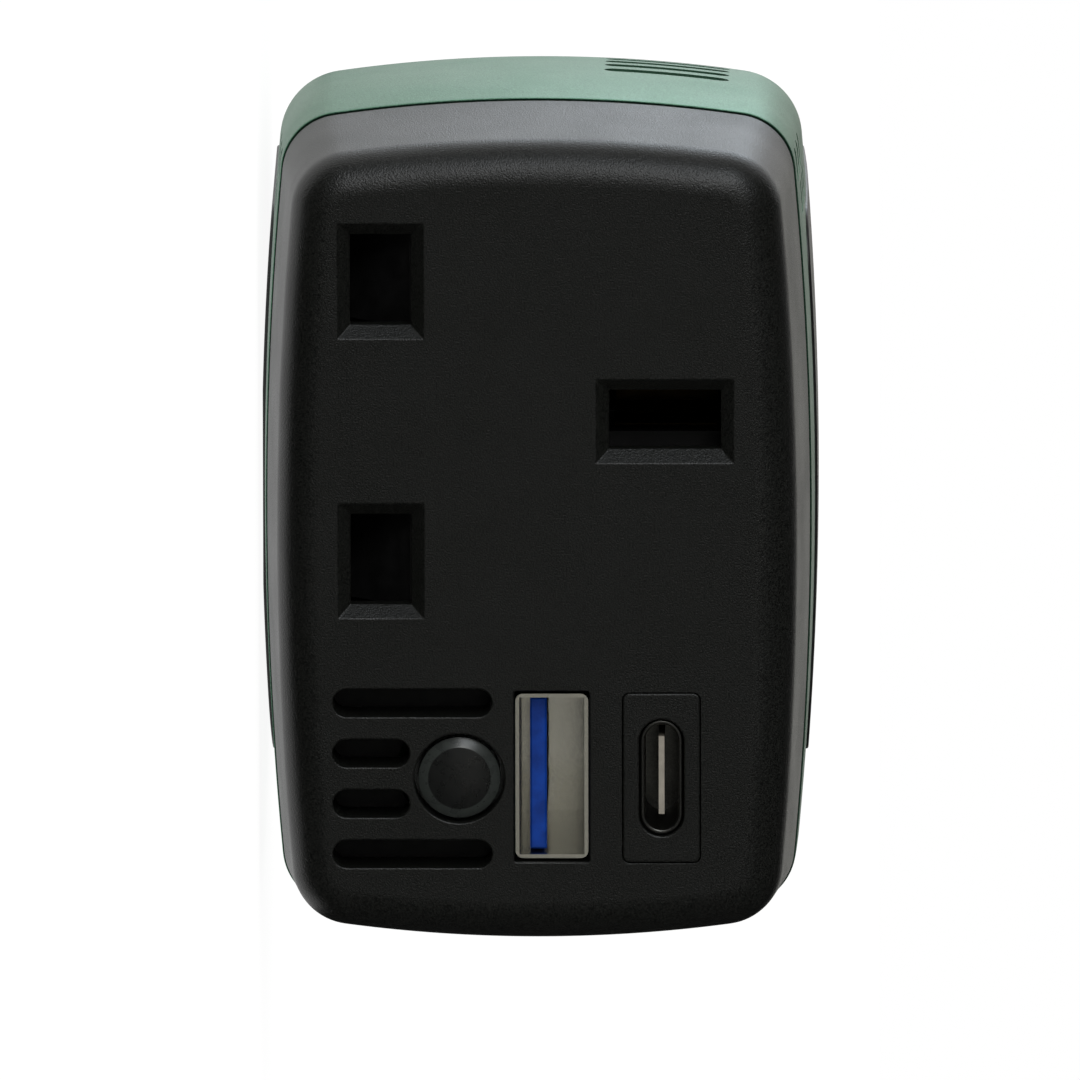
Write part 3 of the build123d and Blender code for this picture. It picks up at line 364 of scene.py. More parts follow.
def anodised_aluminium():
    """Bead-blasted aluminium dyed green: fine speckle, metallic, satin.

    The beads' dents are about 0.05 mm wide and are drawn at 0.13 mm, so that they show.
    """
    material, tree, place = empty_material("anodised_aluminium")
    fine = grain(tree, place, 0.13, 2.0)
    broad = grain(tree, place, 9.0, 2.0)
    normal = relief(tree, fine, 0.02)
    surface(tree, shades(tree, fine, "#3f6753", "#608a70"), spread(tree, broad, 0.38, 0.44),
            normal, Metallic=0.8)
    return material


def silicone_rubber():
    """Black moulded silicone: satin, with a fine grain of 0.3 mm."""
    material, tree, place = empty_material("silicone_rubber")
    fine = grain(tree, place, 0.3, 3.0)
    normal = relief(tree, fine, 0.01)
    surface(tree, shades(tree, fine, "#141414", "#1b1b1b"), spread(tree, fine, 0.36, 0.44),
            normal, IOR=1.5)
    return material


def polished_abs_with_painted_ring_sheen():
    """Black ABS from a polished mould with hair-fine marks: a ring painted paler round the darker
    dome, a painted sheen in place of reflected light.

    The painted sheen starts where the distance from the button's axis passes the shoulder's
    radius.
    """
    material, tree, place = empty_material("polished_abs_with_painted_ring_sheen")
    marks = grain(tree, place, 0.8, 4.0)
    normal = relief(tree, marks, 0.002)
    centre = (button_low + button_high) / 2 * MM
    across = add(tree, "ShaderNodeVectorMath", {0: place}, operation="SUBTRACT")
    across.inputs[1].default_value = centre
    flat = add(tree, "ShaderNodeVectorMath", {0: across.outputs[0]}, operation="MULTIPLY")
    flat.inputs[1].default_value = (1, 0, 1)
    away = add(tree, "ShaderNodeVectorMath", {0: flat.outputs[0]}, operation="LENGTH")
    # Mask of the ring: past the shoulder's radius the colour turns to the painted sheen
    ring = add(tree, "ShaderNodeMapRange", {"Value": away.outputs["Value"]},
               From_Min=(button_shoulder_radius - button_shoulder_blend) * MM,
               From_Max=(button_shoulder_radius + button_shoulder_blend) * MM)
    # The dome keeps the plastic's own dark colour; the ring's paler colours are a painted sheen
    # standing in for reflected light
    dome_and_painted_ring_sheen = add(tree, "ShaderNodeMixRGB",
               {"Fac": ring.outputs["Result"], "Color1": shades(tree, marks, "#0e0f0e", "#131413"),
                "Color2": shades(tree, marks, "#2a2d2b", "#303431")})
    surface(tree, dome_and_painted_ring_sheen.outputs["Color"], spread(tree, marks, 0.25, 0.32), normal, IOR=1.5)
    return material


def filled_nylon(name, dark, light, specular=0.5):
    """Glass-filled nylon as moulded: matt, cloudy where the fibres gather, with a fine grain."""
    material, tree, place = empty_material(name)
    cloud = grain(tree, place, 1.2, 4.0)
    normal = relief(tree, grain(tree, place, 0.25), 0.008)
    surface(tree, shades(tree, cloud, dark, light), spread(tree, cloud, 0.5, 0.62), normal,
            Specular_IOR_Level=specular, IOR=1.5)
    return material


def plated_steel(name, dark, light, rough):
    """Plated sheet steel with the faint lines of its rolling along the depth.

    Such lines lie about 0.02 mm apart and are drawn at 0.12 mm, so that they show.
    """
    material, tree, place = empty_material(name)
    drawn_out = add(tree, "ShaderNodeMapping", {"Vector": place}, Scale=(1.0, 0.06, 1.0))
    lines = grain(tree, drawn_out.outputs["Vector"], 0.12, 2.0)
    normal = relief(tree, lines, 0.001)
    surface(tree, shades(tree, lines, dark, light), spread(tree, lines, rough, rough + 0.1),
            normal, Metallic=1.0)
    return material


def brass_with_painted_shade():
    """Rolled brass strip, darkened as painted shade for its place deep inside the socket, its tone
    varying in patches.
    """
    material, tree, place = empty_material("brass_with_painted_shade")
    patches = grain(tree, place, 2.0, 4.0)
    # Dark brass colours: painted shade for the contacts deep behind the apertures
    surface(tree, shades(tree, patches, "#3a2d17", "#4e3f24"), spread(tree, patches, 0.4, 0.55),
            relief(tree, patches, 0.004), Metallic=1.0)
    return material


def board_laminate():
    """Glass-fibre laminate under green solder resist: glossy over a faint weave.

    The threads lie 0.6 mm apart and are drawn six times coarser, as wide swells.
    """
    material, tree, place = empty_material("board_laminate")
    weave = bands(tree, place, 0.6, Distortion=0.4)
    surface(tree, shades(tree, weave, "#0c3a1f", "#12482a"), spread(tree, weave, 0.28, 0.36),
            relief(tree, weave, 0.006), IOR=1.55)
    return material


def sintered_ferrite():
    """Sintered ferrite: near-black ceramic with open pores."""
    material, tree, place = empty_material("sintered_ferrite")
    pores = grain(tree, place, 0.4, 4.0, 0.7)
    surface(tree, shades(tree, pores, "#17181a", "#2a2b2d"), spread(tree, pores, 0.5, 0.7),
            relief(tree, pores, 0.02), IOR=1.6)
    return material


def enamelled_copper():
    """Enamelled copper wire wound side by side, with the ridges of its layers.

    The wire is 0.5 mm thick and is drawn six times coarser, as wide swells.
    """
    material, tree, place = empty_material("enamelled_copper")
    turns = bands(tree, place, 0.5, bands_direction="Z", Distortion=0.2)
    surface(tree, shades(tree, turns, "#6b2d12", "#b4592a"), spread(tree, turns, 0.25, 0.35),
            relief(tree, turns, 0.12), Metallic=0.8)
    return material


def shrink_sleeve():
    """Dark shrink sleeve on a capacitor's can, tight and slightly glossy."""
    material, tree, place = empty_material("shrink_sleeve")
    folds = grain(tree, place, 3.0, 3.0)
    surface(tree, shades(tree, folds, "#10131f", "#181c2c"), spread(tree, folds, 0.28, 0.36),
            relief(tree, folds, 0.02), IOR=1.5)
    return material


def extruded_aluminium():
    """Bare extruded aluminium with lines along the extrusion."""
    material, tree, place = empty_material("extruded_aluminium")
    drawn_out = add(tree, "ShaderNodeMapping", {"Vector": place}, Scale=(1.0, 1.0, 0.05))
    lines = grain(tree, drawn_out.outputs["Vector"], 0.3, 2.0)
    surface(tree, shades(tree, lines, "#a9aaac", "#c6c7c9"), spread(tree, lines, 0.32, 0.42),
            relief(tree, lines, 0.01), Metallic=1.0)
    return material


def amber_polycarbonate():
    """The fuse's clear amber body, glossy, with light passing a little way in."""
    material, tree, place = empty_material("amber_polycarbonate")
    cloud = grain(tree, place, 2.0, 2.0)
    surface(tree, shades(tree, cloud, "#b8700f", "#d88d1c"), spread(tree, cloud, 0.15, 0.22),
            relief(tree, cloud, 0.003), Transmission_Weight=0.3, IOR=1.58)
    return material


black_abs = spark_eroded_abs()
green_aluminium = anodised_aluminium()
rubber = silicone_rubber()
button_abs = polished_abs_with_painted_ring_sheen()
# Black nylon of the inner pieces, its colours lowered further as painted shade for the shutter
# deep behind the line apertures
black_nylon_with_painted_shade = filled_nylon("black_nylon_with_painted_shade", "#080808", "#0d0d0d")
white_nylon = filled_nylon("white_nylon", "#cfcdc4", "#dedcd3")
blue_nylon = filled_nylon("blue_nylon", "#062f7c", "#093c96", 0.2)
beige_nylon = filled_nylon("beige_nylon", "#8d877b", "#a19a8d")
package_epoxy = filled_nylon("package_epoxy", "#131314", "#1c1c1d")
port_steel = plated_steel("nickel_plated_steel", "#c6c4ba", "#d3d1c7", 0.14)
# Plated steel in dark colours for the small port's can: painted shade standing in for the dark
# surroundings that it reflects
steel_with_painted_dark_reflection = plated_steel("plated_steel_darkened_as_painted_reflection", "#565653", "#666662", 0.3)
screw_steel = plated_steel("zinc_plated_steel", "#7d7f82", "#9a9ca0", 0.32)
brass = brass_with_painted_shade()
laminate = board_laminate()
ferrite = sintered_ferrite()
copper = enamelled_copper()
sleeve = shrink_sleeve()
bare_aluminium = extruded_aluminium()
amber = amber_polycarbonate()

cad_finishes = {
    "cap_plastic": black_abs, "case_green": green_aluminium, "pad_rubber": rubber,
    "button_plastic": button_abs, "inner_plastic": black_nylon_with_painted_shade, "plunger_plastic": white_nylon,
    "port_blue": blue_nylon, "port_beige": beige_nylon, "port_steel": port_steel,
    "screw_steel": screw_steel, "contact_brass": brass, "board_laminate": laminate,
    "ferrite": ferrite, "winding_copper": copper, "capacitor_sleeve": sleeve,
    "sink_aluminium": bare_aluminium, "package_epoxy": package_epoxy, "fuse_amber": amber,
}
slot_of = {part["node"]: part["material_slot"] for part in frame["record"]["subparts"]}
for node, thing in frame["nodes"].items():
    thing.data.materials.clear()
    thing.data.materials.append(cad_finishes[slot_of[node]])


def dress(thing, node, body="case", finish=None):
    """Gives a new piece the finish, slot and body of the CAD node that it stands for."""
    thing.data.materials.clear()
    thing.data.materials.append(finish or cad_finishes[slot_of[node]])
    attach(thing, body)
    return thing


# Moulded front: one wall round the face, the flanks and the spigot

def cap_half(depth):
    """Half width and half height of the front's drafted flanks at a depth."""
    drawn_in = rim_step + (cap_depth - depth) * tan(cap_draft)
    return body_width / 2 - drawn_in, body_height / 2 - drawn_in


def shell_half(distance, inset=0.0):
    """Half width, half height and corner of the shell at a distance behind its front edge."""
    return (body_width / 2 + swell(distance, side_flare, side_curve_radius) - inset,
            body_height / 2 + swell(distance, top_flare, top_curve_radius) - inset,
            corner_radius + corner_growth * distance - inset)


def cap_rings():
    """Rings from the middle of the face over its edge, back to the spigot and in again."""
    rings = []

    def ring(depth, drawn_in, corner):
        half_width, half_height = cap_half(depth)
        rings.append(placed(outlines(half_width - drawn_in, half_height - drawn_in, corner),
                            depth))

    centre_inset = cap_edge_radius * cos(cap_draft)
    start_depth = cap_edge_radius * (1 - sin(cap_draft))
    start_half = np.array(cap_half(start_depth))
    for extra in flat_insets:
        face_half = start_half - centre_inset - extra
        rings.append(placed(outlines(*face_half, corner_radius - centre_inset - extra), 0.0))
    across, forward = quarter_round(cap_edge_radius, pi / 2, cap_draft, edge_steps)
    for out, ahead in zip(across, forward):
        half = start_half - centre_inset + out
        corner = corner_radius - centre_inset + out
        rings.append(placed(outlines(*half, corner), cap_edge_radius - ahead))
    for depth in np.linspace(start_depth, cap_depth - rim_round, flank_steps)[1:]:
        ring(depth, 0.0, corner_radius)
    across, behind = quarter_round(rim_round, 0, pi / 2, rim_steps)
    for out, back in list(zip(across, behind))[1:]:
        half = np.array(cap_half(cap_depth)) - rim_round + out
        rings.append(placed(outlines(*half, corner_radius), cap_depth - rim_round + back))
    for distance, inset in ((-seam_gap, spigot_clearance), (spigot_reach, spigot_clearance),
                            (spigot_reach, spigot_clearance + spigot_wall),
                            (-seam_gap - spigot_root, spigot_clearance + spigot_wall)):
        rings.append(placed(outlines(*shell_half(distance, shell_wall + inset)),
                            shell_front + distance))
    for depth in (cap_depth - wall_turn, face_wall):
        ring(depth, cap_wall, corner_radius - cap_wall)
    return np.concatenate(rings)


def lip_tool(name, x, z, width, height, corner, profile, steps=8, growth=1.0):
    """A cutter for a hole in the face: its outline grows by the profile's offset at a depth.

    The corner radius grows by a share of that offset: 1 keeps an even lip, 0 mitres it.
    """
    depth, offset = np.array(profile, float).T
    loops = rounded_boxes(width + 2 * offset, height + 2 * offset,
                          corner + growth * offset, steps)
    return grid_mesh(name, placed(loops, depth, x, z))


def lip(radius):
    """Profile entries of a rounded mouth: the wall turns into the face through a quarter."""
    turn = np.linspace(0, pi / 2, rim_steps)
    return [(radius * (1 - sin(t)) if t else radius, radius * (1 - cos(t))) for t in turn][::-1]


def straight_hole(radius, far):
    """Profile of a straight hole with a rounded mouth, from before the face to a depth."""
    mouth = lip(radius)
    return [(before_face, mouth[0][1]), *mouth, (far, 0.0)]


# Holes of the face, at the places of the pieces behind them

usb_a_low, usb_a_high = extent("usb_a_shell")
usb_c_low, usb_c_high = extent("usb_c_shell")
panel_low, panel_high = extent("usb_c_panel")
neutral_low, neutral_high = extent("neutral_contact")
live_low, live_high = extent("live_contact")
earth_low, earth_high = extent("earth_contact")
screen_low, screen_high = extent("vent_screen")


def middle(low, high):
    """x and z of a box's middle, counted from the axis of the case."""
    return (low[0] + high[0]) / 2, (low[2] + high[2]) / 2 - mid_z


line_aperture = (7.2, 4.8)
earth_aperture = (4.7, 8.8)
aperture_bevel = 1.0
aperture_soft_edge = 0.2
aperture_corner = 0.1
aperture_corner_growth = 0.05
slot_width = 2.2
slot_pitch = 4.01
slot_first_x = 12.63
slot_low_z = -16.0
slot_tops = (-3.55, -10.0, -10.0, -3.55)
slot_depth = screen_low[1] - face_y
soft_edge = 0.15
button_hole_radius = 3.55
flange_hole_radius = 4.0
window_gap = 0.1
window_end_gap = 0.25
window_corner = 0.15
panel_gap = 0.06
panel_corner = 0.6
vent_pad_corner = 2.5
before_face = -1.0
through = face_wall + 3.0


def bevelled(x, z, width, height):
    """A pin aperture: a soft edge, a 45-degree lead-in, then straight walls."""
    r = aperture_soft_edge
    start = aperture_bevel + r * (sqrt(2) - 1)
    turn = np.linspace(0, pi / 4, 4)
    edge = [(r * (1 - cos(t)), start - r * sin(t)) for t in turn]
    profile = [(before_face, start), *edge, (aperture_bevel, 0.0), (through, 0.0)]
    return lip_tool("aperture", x, z, width, height, aperture_corner, profile, 3,
                    aperture_corner_growth)


def face_tools(button_room):
    """Every cutter of the face, with room of a given radius round the button."""
    tools = [bevelled(*middle(neutral_low, neutral_high), *line_aperture),
             bevelled(*middle(live_low, live_high), *line_aperture),
             bevelled(*middle(earth_low, earth_high), *earth_aperture)]
    for i, top in enumerate(slot_tops):
        tools.append(lip_tool("slot", slot_first_x + i * slot_pitch, (top + slot_low_z) / 2,
                              slot_width, top - slot_low_z, slot_width / 2,
                              straight_hole(soft_edge, through), 12))
    tools.append(lip_tool("button_hole", *middle(button_low, button_high),
                          2 * button_room, 2 * button_room, button_room,
                          straight_hole(soft_edge, through), 24))
    size = usb_a_high - usb_a_low
    tools.append(lip_tool("usb_a_window", *middle(usb_a_low, usb_a_high),
                          size[0] + 2 * window_end_gap, size[2] + 2 * window_gap,
                          window_corner, straight_hole(soft_edge, through), 3))
    size = panel_high - panel_low
    tools.append(lip_tool("panel_hole", *middle(panel_low, panel_high),
                          size[0] + 2 * panel_gap, size[2] + 2 * panel_gap, panel_corner,
                          straight_hole(panel_gap, through), 6))
    return tools


front = make("moulded_front", grid_mesh("moulded_front", cap_rings()))
cut(front, face_tools(button_hole_radius))
even_normals(front)
dress(front, "front_cap")
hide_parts("front_cap")


def vent_rings(near, far):
    """The thick pad behind the vent slots: a rounded plate between two depths."""
    size = screen_high - screen_low
    loops = rounded_boxes([size[0]] * 2, [size[2]] * 2, vent_pad_corner)
    return placed(loops, [near, far], *middle(screen_low, screen_high))


vent_pad = make("vent_pad", grid_mesh("vent_pad", vent_rings(face_wall, slot_depth)))
cut(vent_pad, face_tools(flange_hole_radius))
dress(vent_pad, "front_cap")


# Green shell: a closed wall that swells and tapers, with its vents

vent_width = 1.8
vent_length = 9.8
vent_pitch = 3.5
vent_first = 13.7
vent_count = 6
vent_z = 10.0
side_vent_size = (2.7, 1.3)
side_vent_pitch = 3.5
side_vent_first = 2.8
side_vent_x = -27.0
side_vent_step = 3.1
side_vent_rows = 3
side_vent_columns = 2
vent_steps = 10
along_shell = 90


def shell_rings():
    """Rings along the outside, round the back edge and along the inside, as one loop.

    The loop closes over the front mouth, which slopes inwards from its outer edge.
    """
    across, ahead = quarter_round(shell_round, pi / 2, 0, rim_steps)
    front_edge = [(shell_round - a, shell_round - o) for o, a in zip(across, ahead)]
    outside = [(d, 0.0) for d in
               np.linspace(shell_round, shell_length - shell_round, along_shell)[1:-1]]
    back_edge = [(shell_length - d, inset) for d, inset in front_edge[::-1]]
    inside = [(d, shell_wall) for d in
              np.linspace(shell_length, mouth_slope, along_shell // 3)]
    distance, inset = np.array(front_edge + outside + back_edge + inside).T
    return placed(outlines(*shell_half(distance, inset)), shell_front + distance)


def upright_slots():
    """Cutters of the row of vents in the side: obrounds carried along x."""
    tools = []
    for i in range(vent_count):
        loop = rounded_boxes(vent_width, vent_length, vent_width / 2, vent_steps)[0]
        y = face_y + shell_front + vent_first + i * vent_pitch
        rings = np.stack([np.stack([np.full(len(loop), x), loop[:, 0] + y,
                                    loop[:, 1] + vent_z + mid_z], -1)
                          for x in (-body_width, -body_width / 3)])
        tools.append(grid_mesh("side_vent", rings))
    return tools


def short_slots():
    """Cutters of the short vents through both broad sides: obrounds carried along z."""
    tools = []
    for column in range(side_vent_columns):
        for row in range(side_vent_rows):
            x = side_vent_x + column * side_vent_step
            y = face_y + shell_front + side_vent_first + (row + column) * side_vent_pitch
            loop = rounded_boxes(*side_vent_size, side_vent_size[1] / 2, vent_steps)[0] + (x, y)
            for low, high in ((-1.0, mid_z / 2), (mid_z * 3 / 2, mid_z * 3)):
                rings = np.stack([np.column_stack([loop, np.full(len(loop), z)])
                                  for z in (low, high)])
                tools.append(grid_mesh("short_vent", rings))
    return tools


case = make("green_shell", grid_mesh("green_shell", shell_rings(), loop=True))
cut(case, upright_slots() + short_slots())
dress(case, "shell")
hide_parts("shell")


# Pads let into the two broad sides

pad_low, pad_high = extent("upper_pad")
foot_low, foot_high = extent("lower_pad")
pad_corner = 5.0
pad_proud = 0.2
pad_sink = 0.45
pad_round = 0.15
pad_rings = 40
pad_widest_inset = 0.98
pad_corner_steps = 10


def pad_top(x, y):
    """The upper pad's surface: the shell's broad side with its bow across, a little proud."""
    distance = y - face_y - shell_front
    rise = body_height / 2 + swell(distance, top_flare, top_curve_radius) + pad_proud
    return mid_z + rise - bow(x, long_side_radius)


def foot_bottom(x, y):
    """The lower pad's surface: level along its length, bowed across, flat where it rests."""
    crown = mid_z - body_height / 2 - pad_proud - top_flare**2 * top_curve_radius / 2
    return np.maximum(crown + bow(x, long_side_radius), foot_low[2]) + 0 * y


def pad_loops(low, high, height, side):
    """Nested rounded rectangles on a surface, over a round edge and down into the shell."""
    size = high - low
    centre = (low + high) / 2
    shrink = np.linspace(pad_widest_inset, 0, pad_rings, endpoint=False)
    turn = np.linspace(0, pi / 2, rim_steps)
    inset = np.concatenate([shrink * (size[1] / 2 - pad_round) + pad_round * (1 - shrink),
                            pad_round * (1 - np.sin(turn)), [0.0]])
    drop = np.concatenate([np.zeros(pad_rings), pad_round * (1 - np.cos(turn)), [pad_sink]])
    corner = np.maximum(pad_corner - inset, least_corner)
    loops = fine_sides(rounded_boxes(size[0] - 2 * inset, size[1] - 2 * inset, corner,
                                     pad_corner_steps), pad_rings)
    x = loops[..., 0] + centre[0]
    y = loops[..., 1] + centre[1]
    return np.stack([x, y, height(x, y) - side * drop[:, None]], -1)


upper = make("upper_rubber_pad", grid_mesh("upper_rubber_pad",
                                           pad_loops(pad_low, pad_high, pad_top, 1)))
dress(upper, "upper_pad")
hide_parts("upper_pad")


def foot_loops():
    """The foot's loops, whose last one rises into the shell all round."""
    rings = pad_loops(foot_low, foot_high, foot_bottom, -1)
    x, y = rings[-1, :, 0], rings[-1, :, 1]
    distance = y - face_y - shell_front
    shell_z = (mid_z - body_height / 2 - swell(distance, top_flare, top_curve_radius)
               + bow(x, long_side_radius))
    rings[-1, :, 2] = shell_z + pad_sink
    return rings


lower = make("lower_rubber_pad", grid_mesh("lower_rubber_pad", foot_loops()))
dress(lower, "lower_pad")
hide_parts("lower_pad")


# Rear: drafted end with the fan grille, the cable inlet and the screws' recesses

screws_low, screws_high = extent("case_screws")
fan_low, fan_high = extent("fan_frame")
grille_radius = 8.8
grille_slot_width = 1.8
grille_pitch = 3.3
grille_rows = 5
recess_radius = 1.95
screw_head_radius = 1.8
recess_depth = 1.9
behind_back = 1.0
bush_overlap = 0.6


def rear_half(depth):
    """Half width and half height of the rear's two drafted pairs of sides at a depth."""
    behind = depth - rear_front
    side = body_width / 2 + swell(shell_length, side_flare, side_curve_radius)
    top = body_height / 2 + swell(shell_length, top_flare, top_curve_radius)
    return (side - rim_step - behind * tan(rear_side_draft),
            top - rim_step - behind * tan(rear_top_draft))


def rear_rings():
    """Rings from the middle of the back over its edge, forward to the rim and in again."""
    corner = corner_radius + corner_growth * shell_length
    start = rear_back - rear_edge_radius * (1 - sin(rear_top_draft))
    start_half = np.array(rear_half(start))
    rings = []
    for extra in flat_insets:
        half = start_half - rear_edge_radius * cos(rear_top_draft) - extra
        rings.append(placed(outlines(*half, corner - rear_edge_radius - extra), rear_back))
    drafts = np.array([rear_side_draft, rear_top_draft])
    for turn in np.linspace(pi / 2, 0, rear_edge_steps):
        lean = drafts + (pi / 2 - drafts) * turn / (pi / 2)
        half = start_half + rear_edge_radius * (np.cos(lean) - np.cos(drafts))
        back = rear_back - rear_edge_radius * (1 - sin(lean[1]))
        rings.append(placed(outlines(*half, corner - rear_edge_radius * (1 - cos(turn))), back))
    for depth in np.linspace(start, rear_front + rim_round, rear_flank_steps)[1:]:
        rings.append(placed(outlines(*rear_half(depth), corner), depth))
    across, ahead = quarter_round(rim_round, 0, pi / 2, rim_steps)
    for out, forward in list(zip(across, ahead))[1:]:
        half = np.array(rear_half(rear_front)) - rim_round + out
        rings.append(placed(outlines(*half, corner), rear_front + rim_round - forward))
    for distance, inset in ((shell_length + seam_gap, spigot_clearance),
                            (shell_length - spigot_reach, spigot_clearance),
                            (shell_length - spigot_reach, spigot_clearance + spigot_wall),
                            (shell_length + seam_gap + spigot_root,
                             spigot_clearance + spigot_wall)):
        rings.append(placed(outlines(*shell_half(distance, shell_wall + inset)),
                            shell_front + distance))
    for depth in (rear_front + wall_turn, rear_back - cap_wall):
        half = np.array(rear_half(depth)) - cap_wall
        rings.append(placed(outlines(*half, corner - cap_wall), depth))
    return np.concatenate(rings)


def back_tool(name, x, z, width, height, corner, depth, steps=12):
    """A cutter from behind the back to a depth, with a softly rounded mouth."""
    turn = np.linspace(0, pi / 2, 4)
    back = np.concatenate([[rear_back + behind_back],
                           rear_back - soft_edge * (1 - np.cos(turn)), [depth]])
    offset = np.concatenate([[soft_edge], soft_edge * (1 - np.sin(turn)), [0.0]])
    loops = rounded_boxes(width + 2 * offset, height + 2 * offset, corner + offset, steps)
    return grid_mesh(name, placed(loops, back, x, z))


def back_tools():
    """The grille's slots, the inlet hole and the four screw recesses."""
    fan_x, fan_z = middle(fan_low, fan_high)
    inner = rear_back - cap_wall - behind_back
    tools = []
    for i in range(grille_rows):
        z = (i - (grille_rows - 1) / 2) * grille_pitch
        tools.append(back_tool("grille", fan_x, fan_z + z, 2 * sqrt(grille_radius**2 - z**2),
                               grille_slot_width, grille_slot_width / 2, inner))
    neck = bush_high[0] - bush_low[0] - 2 * bush_overlap
    tools.append(back_tool("inlet", *middle(bush_low, bush_high), neck, neck, neck / 2, inner,
                           20))
    for x in (screws_low[0] + screw_head_radius, screws_high[0] - screw_head_radius):
        for z in (screws_low[2] + screw_head_radius, screws_high[2] - screw_head_radius):
            tools.append(back_tool("recess", x, z - mid_z, 2 * recess_radius, 2 * recess_radius,
                                   recess_radius, rear_back - recess_depth, 16))
    return tools


rear = make("moulded_rear", grid_mesh("moulded_rear", rear_rings()))
cut(rear, back_tools())
even_normals(rear)
dress(rear, "rear_cap")
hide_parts("rear_cap")


# Turned pieces

def turned(name, x, z, profile, sides=96, loop=False):
    """Rings of (radius, depth) turned about an axis along the depth.

    They make a solid with flat ends or, where the profile is a closed loop, a ring.
    """
    radius, depth = np.array(profile, float).T
    turn = np.linspace(0, 2 * pi, sides, endpoint=False)
    loops = radius[:, None, None] * np.stack([np.cos(turn), np.sin(turn)], -1)[None]
    return grid_mesh(name, placed(loops, depth, x, z), loop=loop)


button_radius = 3.2
button_rim_depth = 0.55
button_shoulder_depth = 0.16
button_apex_depth = 0.02
button_rim_edge = 0.1
button_ring_bend = 1.08
button_flange_radius = 3.85
button_flange_thickness = 1.5
button_seat_gap = 0.05
button_stem_radius = 1.5


def button_profile():
    """A shallow inner dome, a bent ring with a soft rim, then the skirt, flange and stem.

    The dome's depth grows with the square of its radius, the ring's with a power near one.
    Rows close to the shoulder on both sides keep its edge crisp.
    """
    inner = np.append(np.linspace(0.02, 0.97, 14), 1)
    profile = [(button_shoulder_radius * t, button_apex_depth
                + (button_shoulder_depth - button_apex_depth) * t**2) for t in inner]
    ring = np.append(0.03, np.linspace(0.08, 1, 10))
    profile += [(button_shoulder_radius + (button_radius - button_shoulder_radius) * t,
                 button_shoulder_depth + (button_rim_depth - button_shoulder_depth)
                 * t**button_ring_bend) for t in ring]
    flange = face_wall + button_seat_gap
    profile += [(button_radius, button_rim_depth + button_rim_edge), (button_radius, flange),
                (button_flange_radius, flange),
                (button_flange_radius, flange + button_flange_thickness),
                (button_stem_radius, flange + button_flange_thickness),
                (button_stem_radius, button_high[1] - face_y)]
    return profile


button = make("round_button", turned("round_button", *middle(button_low, button_high),
                                     button_profile()), 20.0)
dress(button, "power_button", body="button")
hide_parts("power_button")


inlet_bore_radius = 3.0
inlet_neck_radius = 3.8
inlet_soft = 0.5


def bush_profile():
    """The grommet's section as one loop: bore, rounded front flange, neck, rounded back one."""
    low, high = bush_low[1] - face_y, bush_high[1] - face_y
    flange = (bush_high[0] - bush_low[0]) / 2
    turn = np.linspace(0, pi / 2, 6)
    round_out = [(flange - inlet_soft * (1 - sin(t)), low + inlet_soft * (1 - cos(t)))
                 for t in turn]
    round_back = [(flange - inlet_soft * (1 - cos(t)), high - inlet_soft * (1 - sin(t)))
                  for t in turn]
    mouth = [(inlet_bore_radius + inlet_soft * (1 - sin(t)), high - inlet_soft * (1 - cos(t)))
             for t in turn]
    return [(inlet_bore_radius, low), *round_out, (flange, rear_back - cap_wall),
            (inlet_neck_radius, rear_back - cap_wall), (inlet_neck_radius, rear_back),
            (flange, rear_back), *round_back, *mouth]


bush = make("rubber_bush", turned("rubber_bush", *middle(bush_low, bush_high), bush_profile(),
                                  80, loop=True), 40.0)
dress(bush, "inlet_bush")
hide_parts("inlet_bush")


# Ports

usb_c_gap = 0.1
usb_c_hole = (usb_c_high - usb_c_low)[[0, 2]] + 2 * usb_c_gap
usb_c_metal = 0.35
usb_c_lip = 0.12
panel_flat_inset = 0.1


def panel_piece():
    """The flush insert: a rounded block with soft edges and the port's obround hole."""
    size = panel_high - panel_low
    back = panel_high[1] - face_y
    turn = np.linspace(pi / 2, 0, 5)
    r = soft_edge
    inset = np.concatenate([[r + panel_flat_inset], r * (1 - np.cos(turn)), [0.0, 0.0]])
    depth = np.concatenate([[0.0], r * (1 - np.sin(turn)), [face_wall, back]])
    corner = np.maximum(panel_corner - panel_gap - inset, least_corner)
    loops = rounded_boxes(size[0] - 2 * inset, size[2] - 2 * inset, corner)
    made = make("port_insert", grid_mesh("port_insert",
                                         placed(loops, depth, *middle(panel_low, panel_high))))
    port_back = usb_c_high[1] - face_y
    return cut(made, [lip_tool("port_hole", *middle(usb_c_low, usb_c_high), *usb_c_hole,
                               usb_c_hole[1] / 2, straight_hole(soft_edge, port_back), 16)])


insert = panel_piece()
even_normals(insert)
dress(insert, "usb_c_panel")
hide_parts("usb_c_panel")


def port_can():
    """The drawn shell of the small port: a round lip, a thin wall and a closed back."""
    size = usb_c_high - usb_c_low
    near, far = usb_c_low[1] - face_y, usb_c_high[1] - face_y
    turn = np.linspace(0, pi / 2, 4)
    outer = [(near + usb_c_lip * (1 - sin(t)), usb_c_lip * (1 - cos(t))) for t in turn]
    inner = [(near + usb_c_lip * (1 - sin(t)), usb_c_metal - usb_c_lip * (1 - cos(t)))
             for t in turn]
    depth, inset = np.array([(far, 0.0), *outer, *inner[::-1],
                             (far - usb_c_metal, usb_c_metal)]).T
    loops = rounded_boxes(size[0] - 2 * inset, size[2] - 2 * inset, size[2] / 2 - inset, 16)
    return make("port_can", grid_mesh("port_can",
                                      placed(loops, depth, *middle(usb_c_low, usb_c_high))))


can = port_can()
# The can gets the steel darkened as a painted reflection
dress(can, "usb_c_shell", finish=steel_with_painted_dark_reflection)
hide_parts("usb_c_shell")


# Studio, sized in metres: pale floor, white surroundings, soft lamps

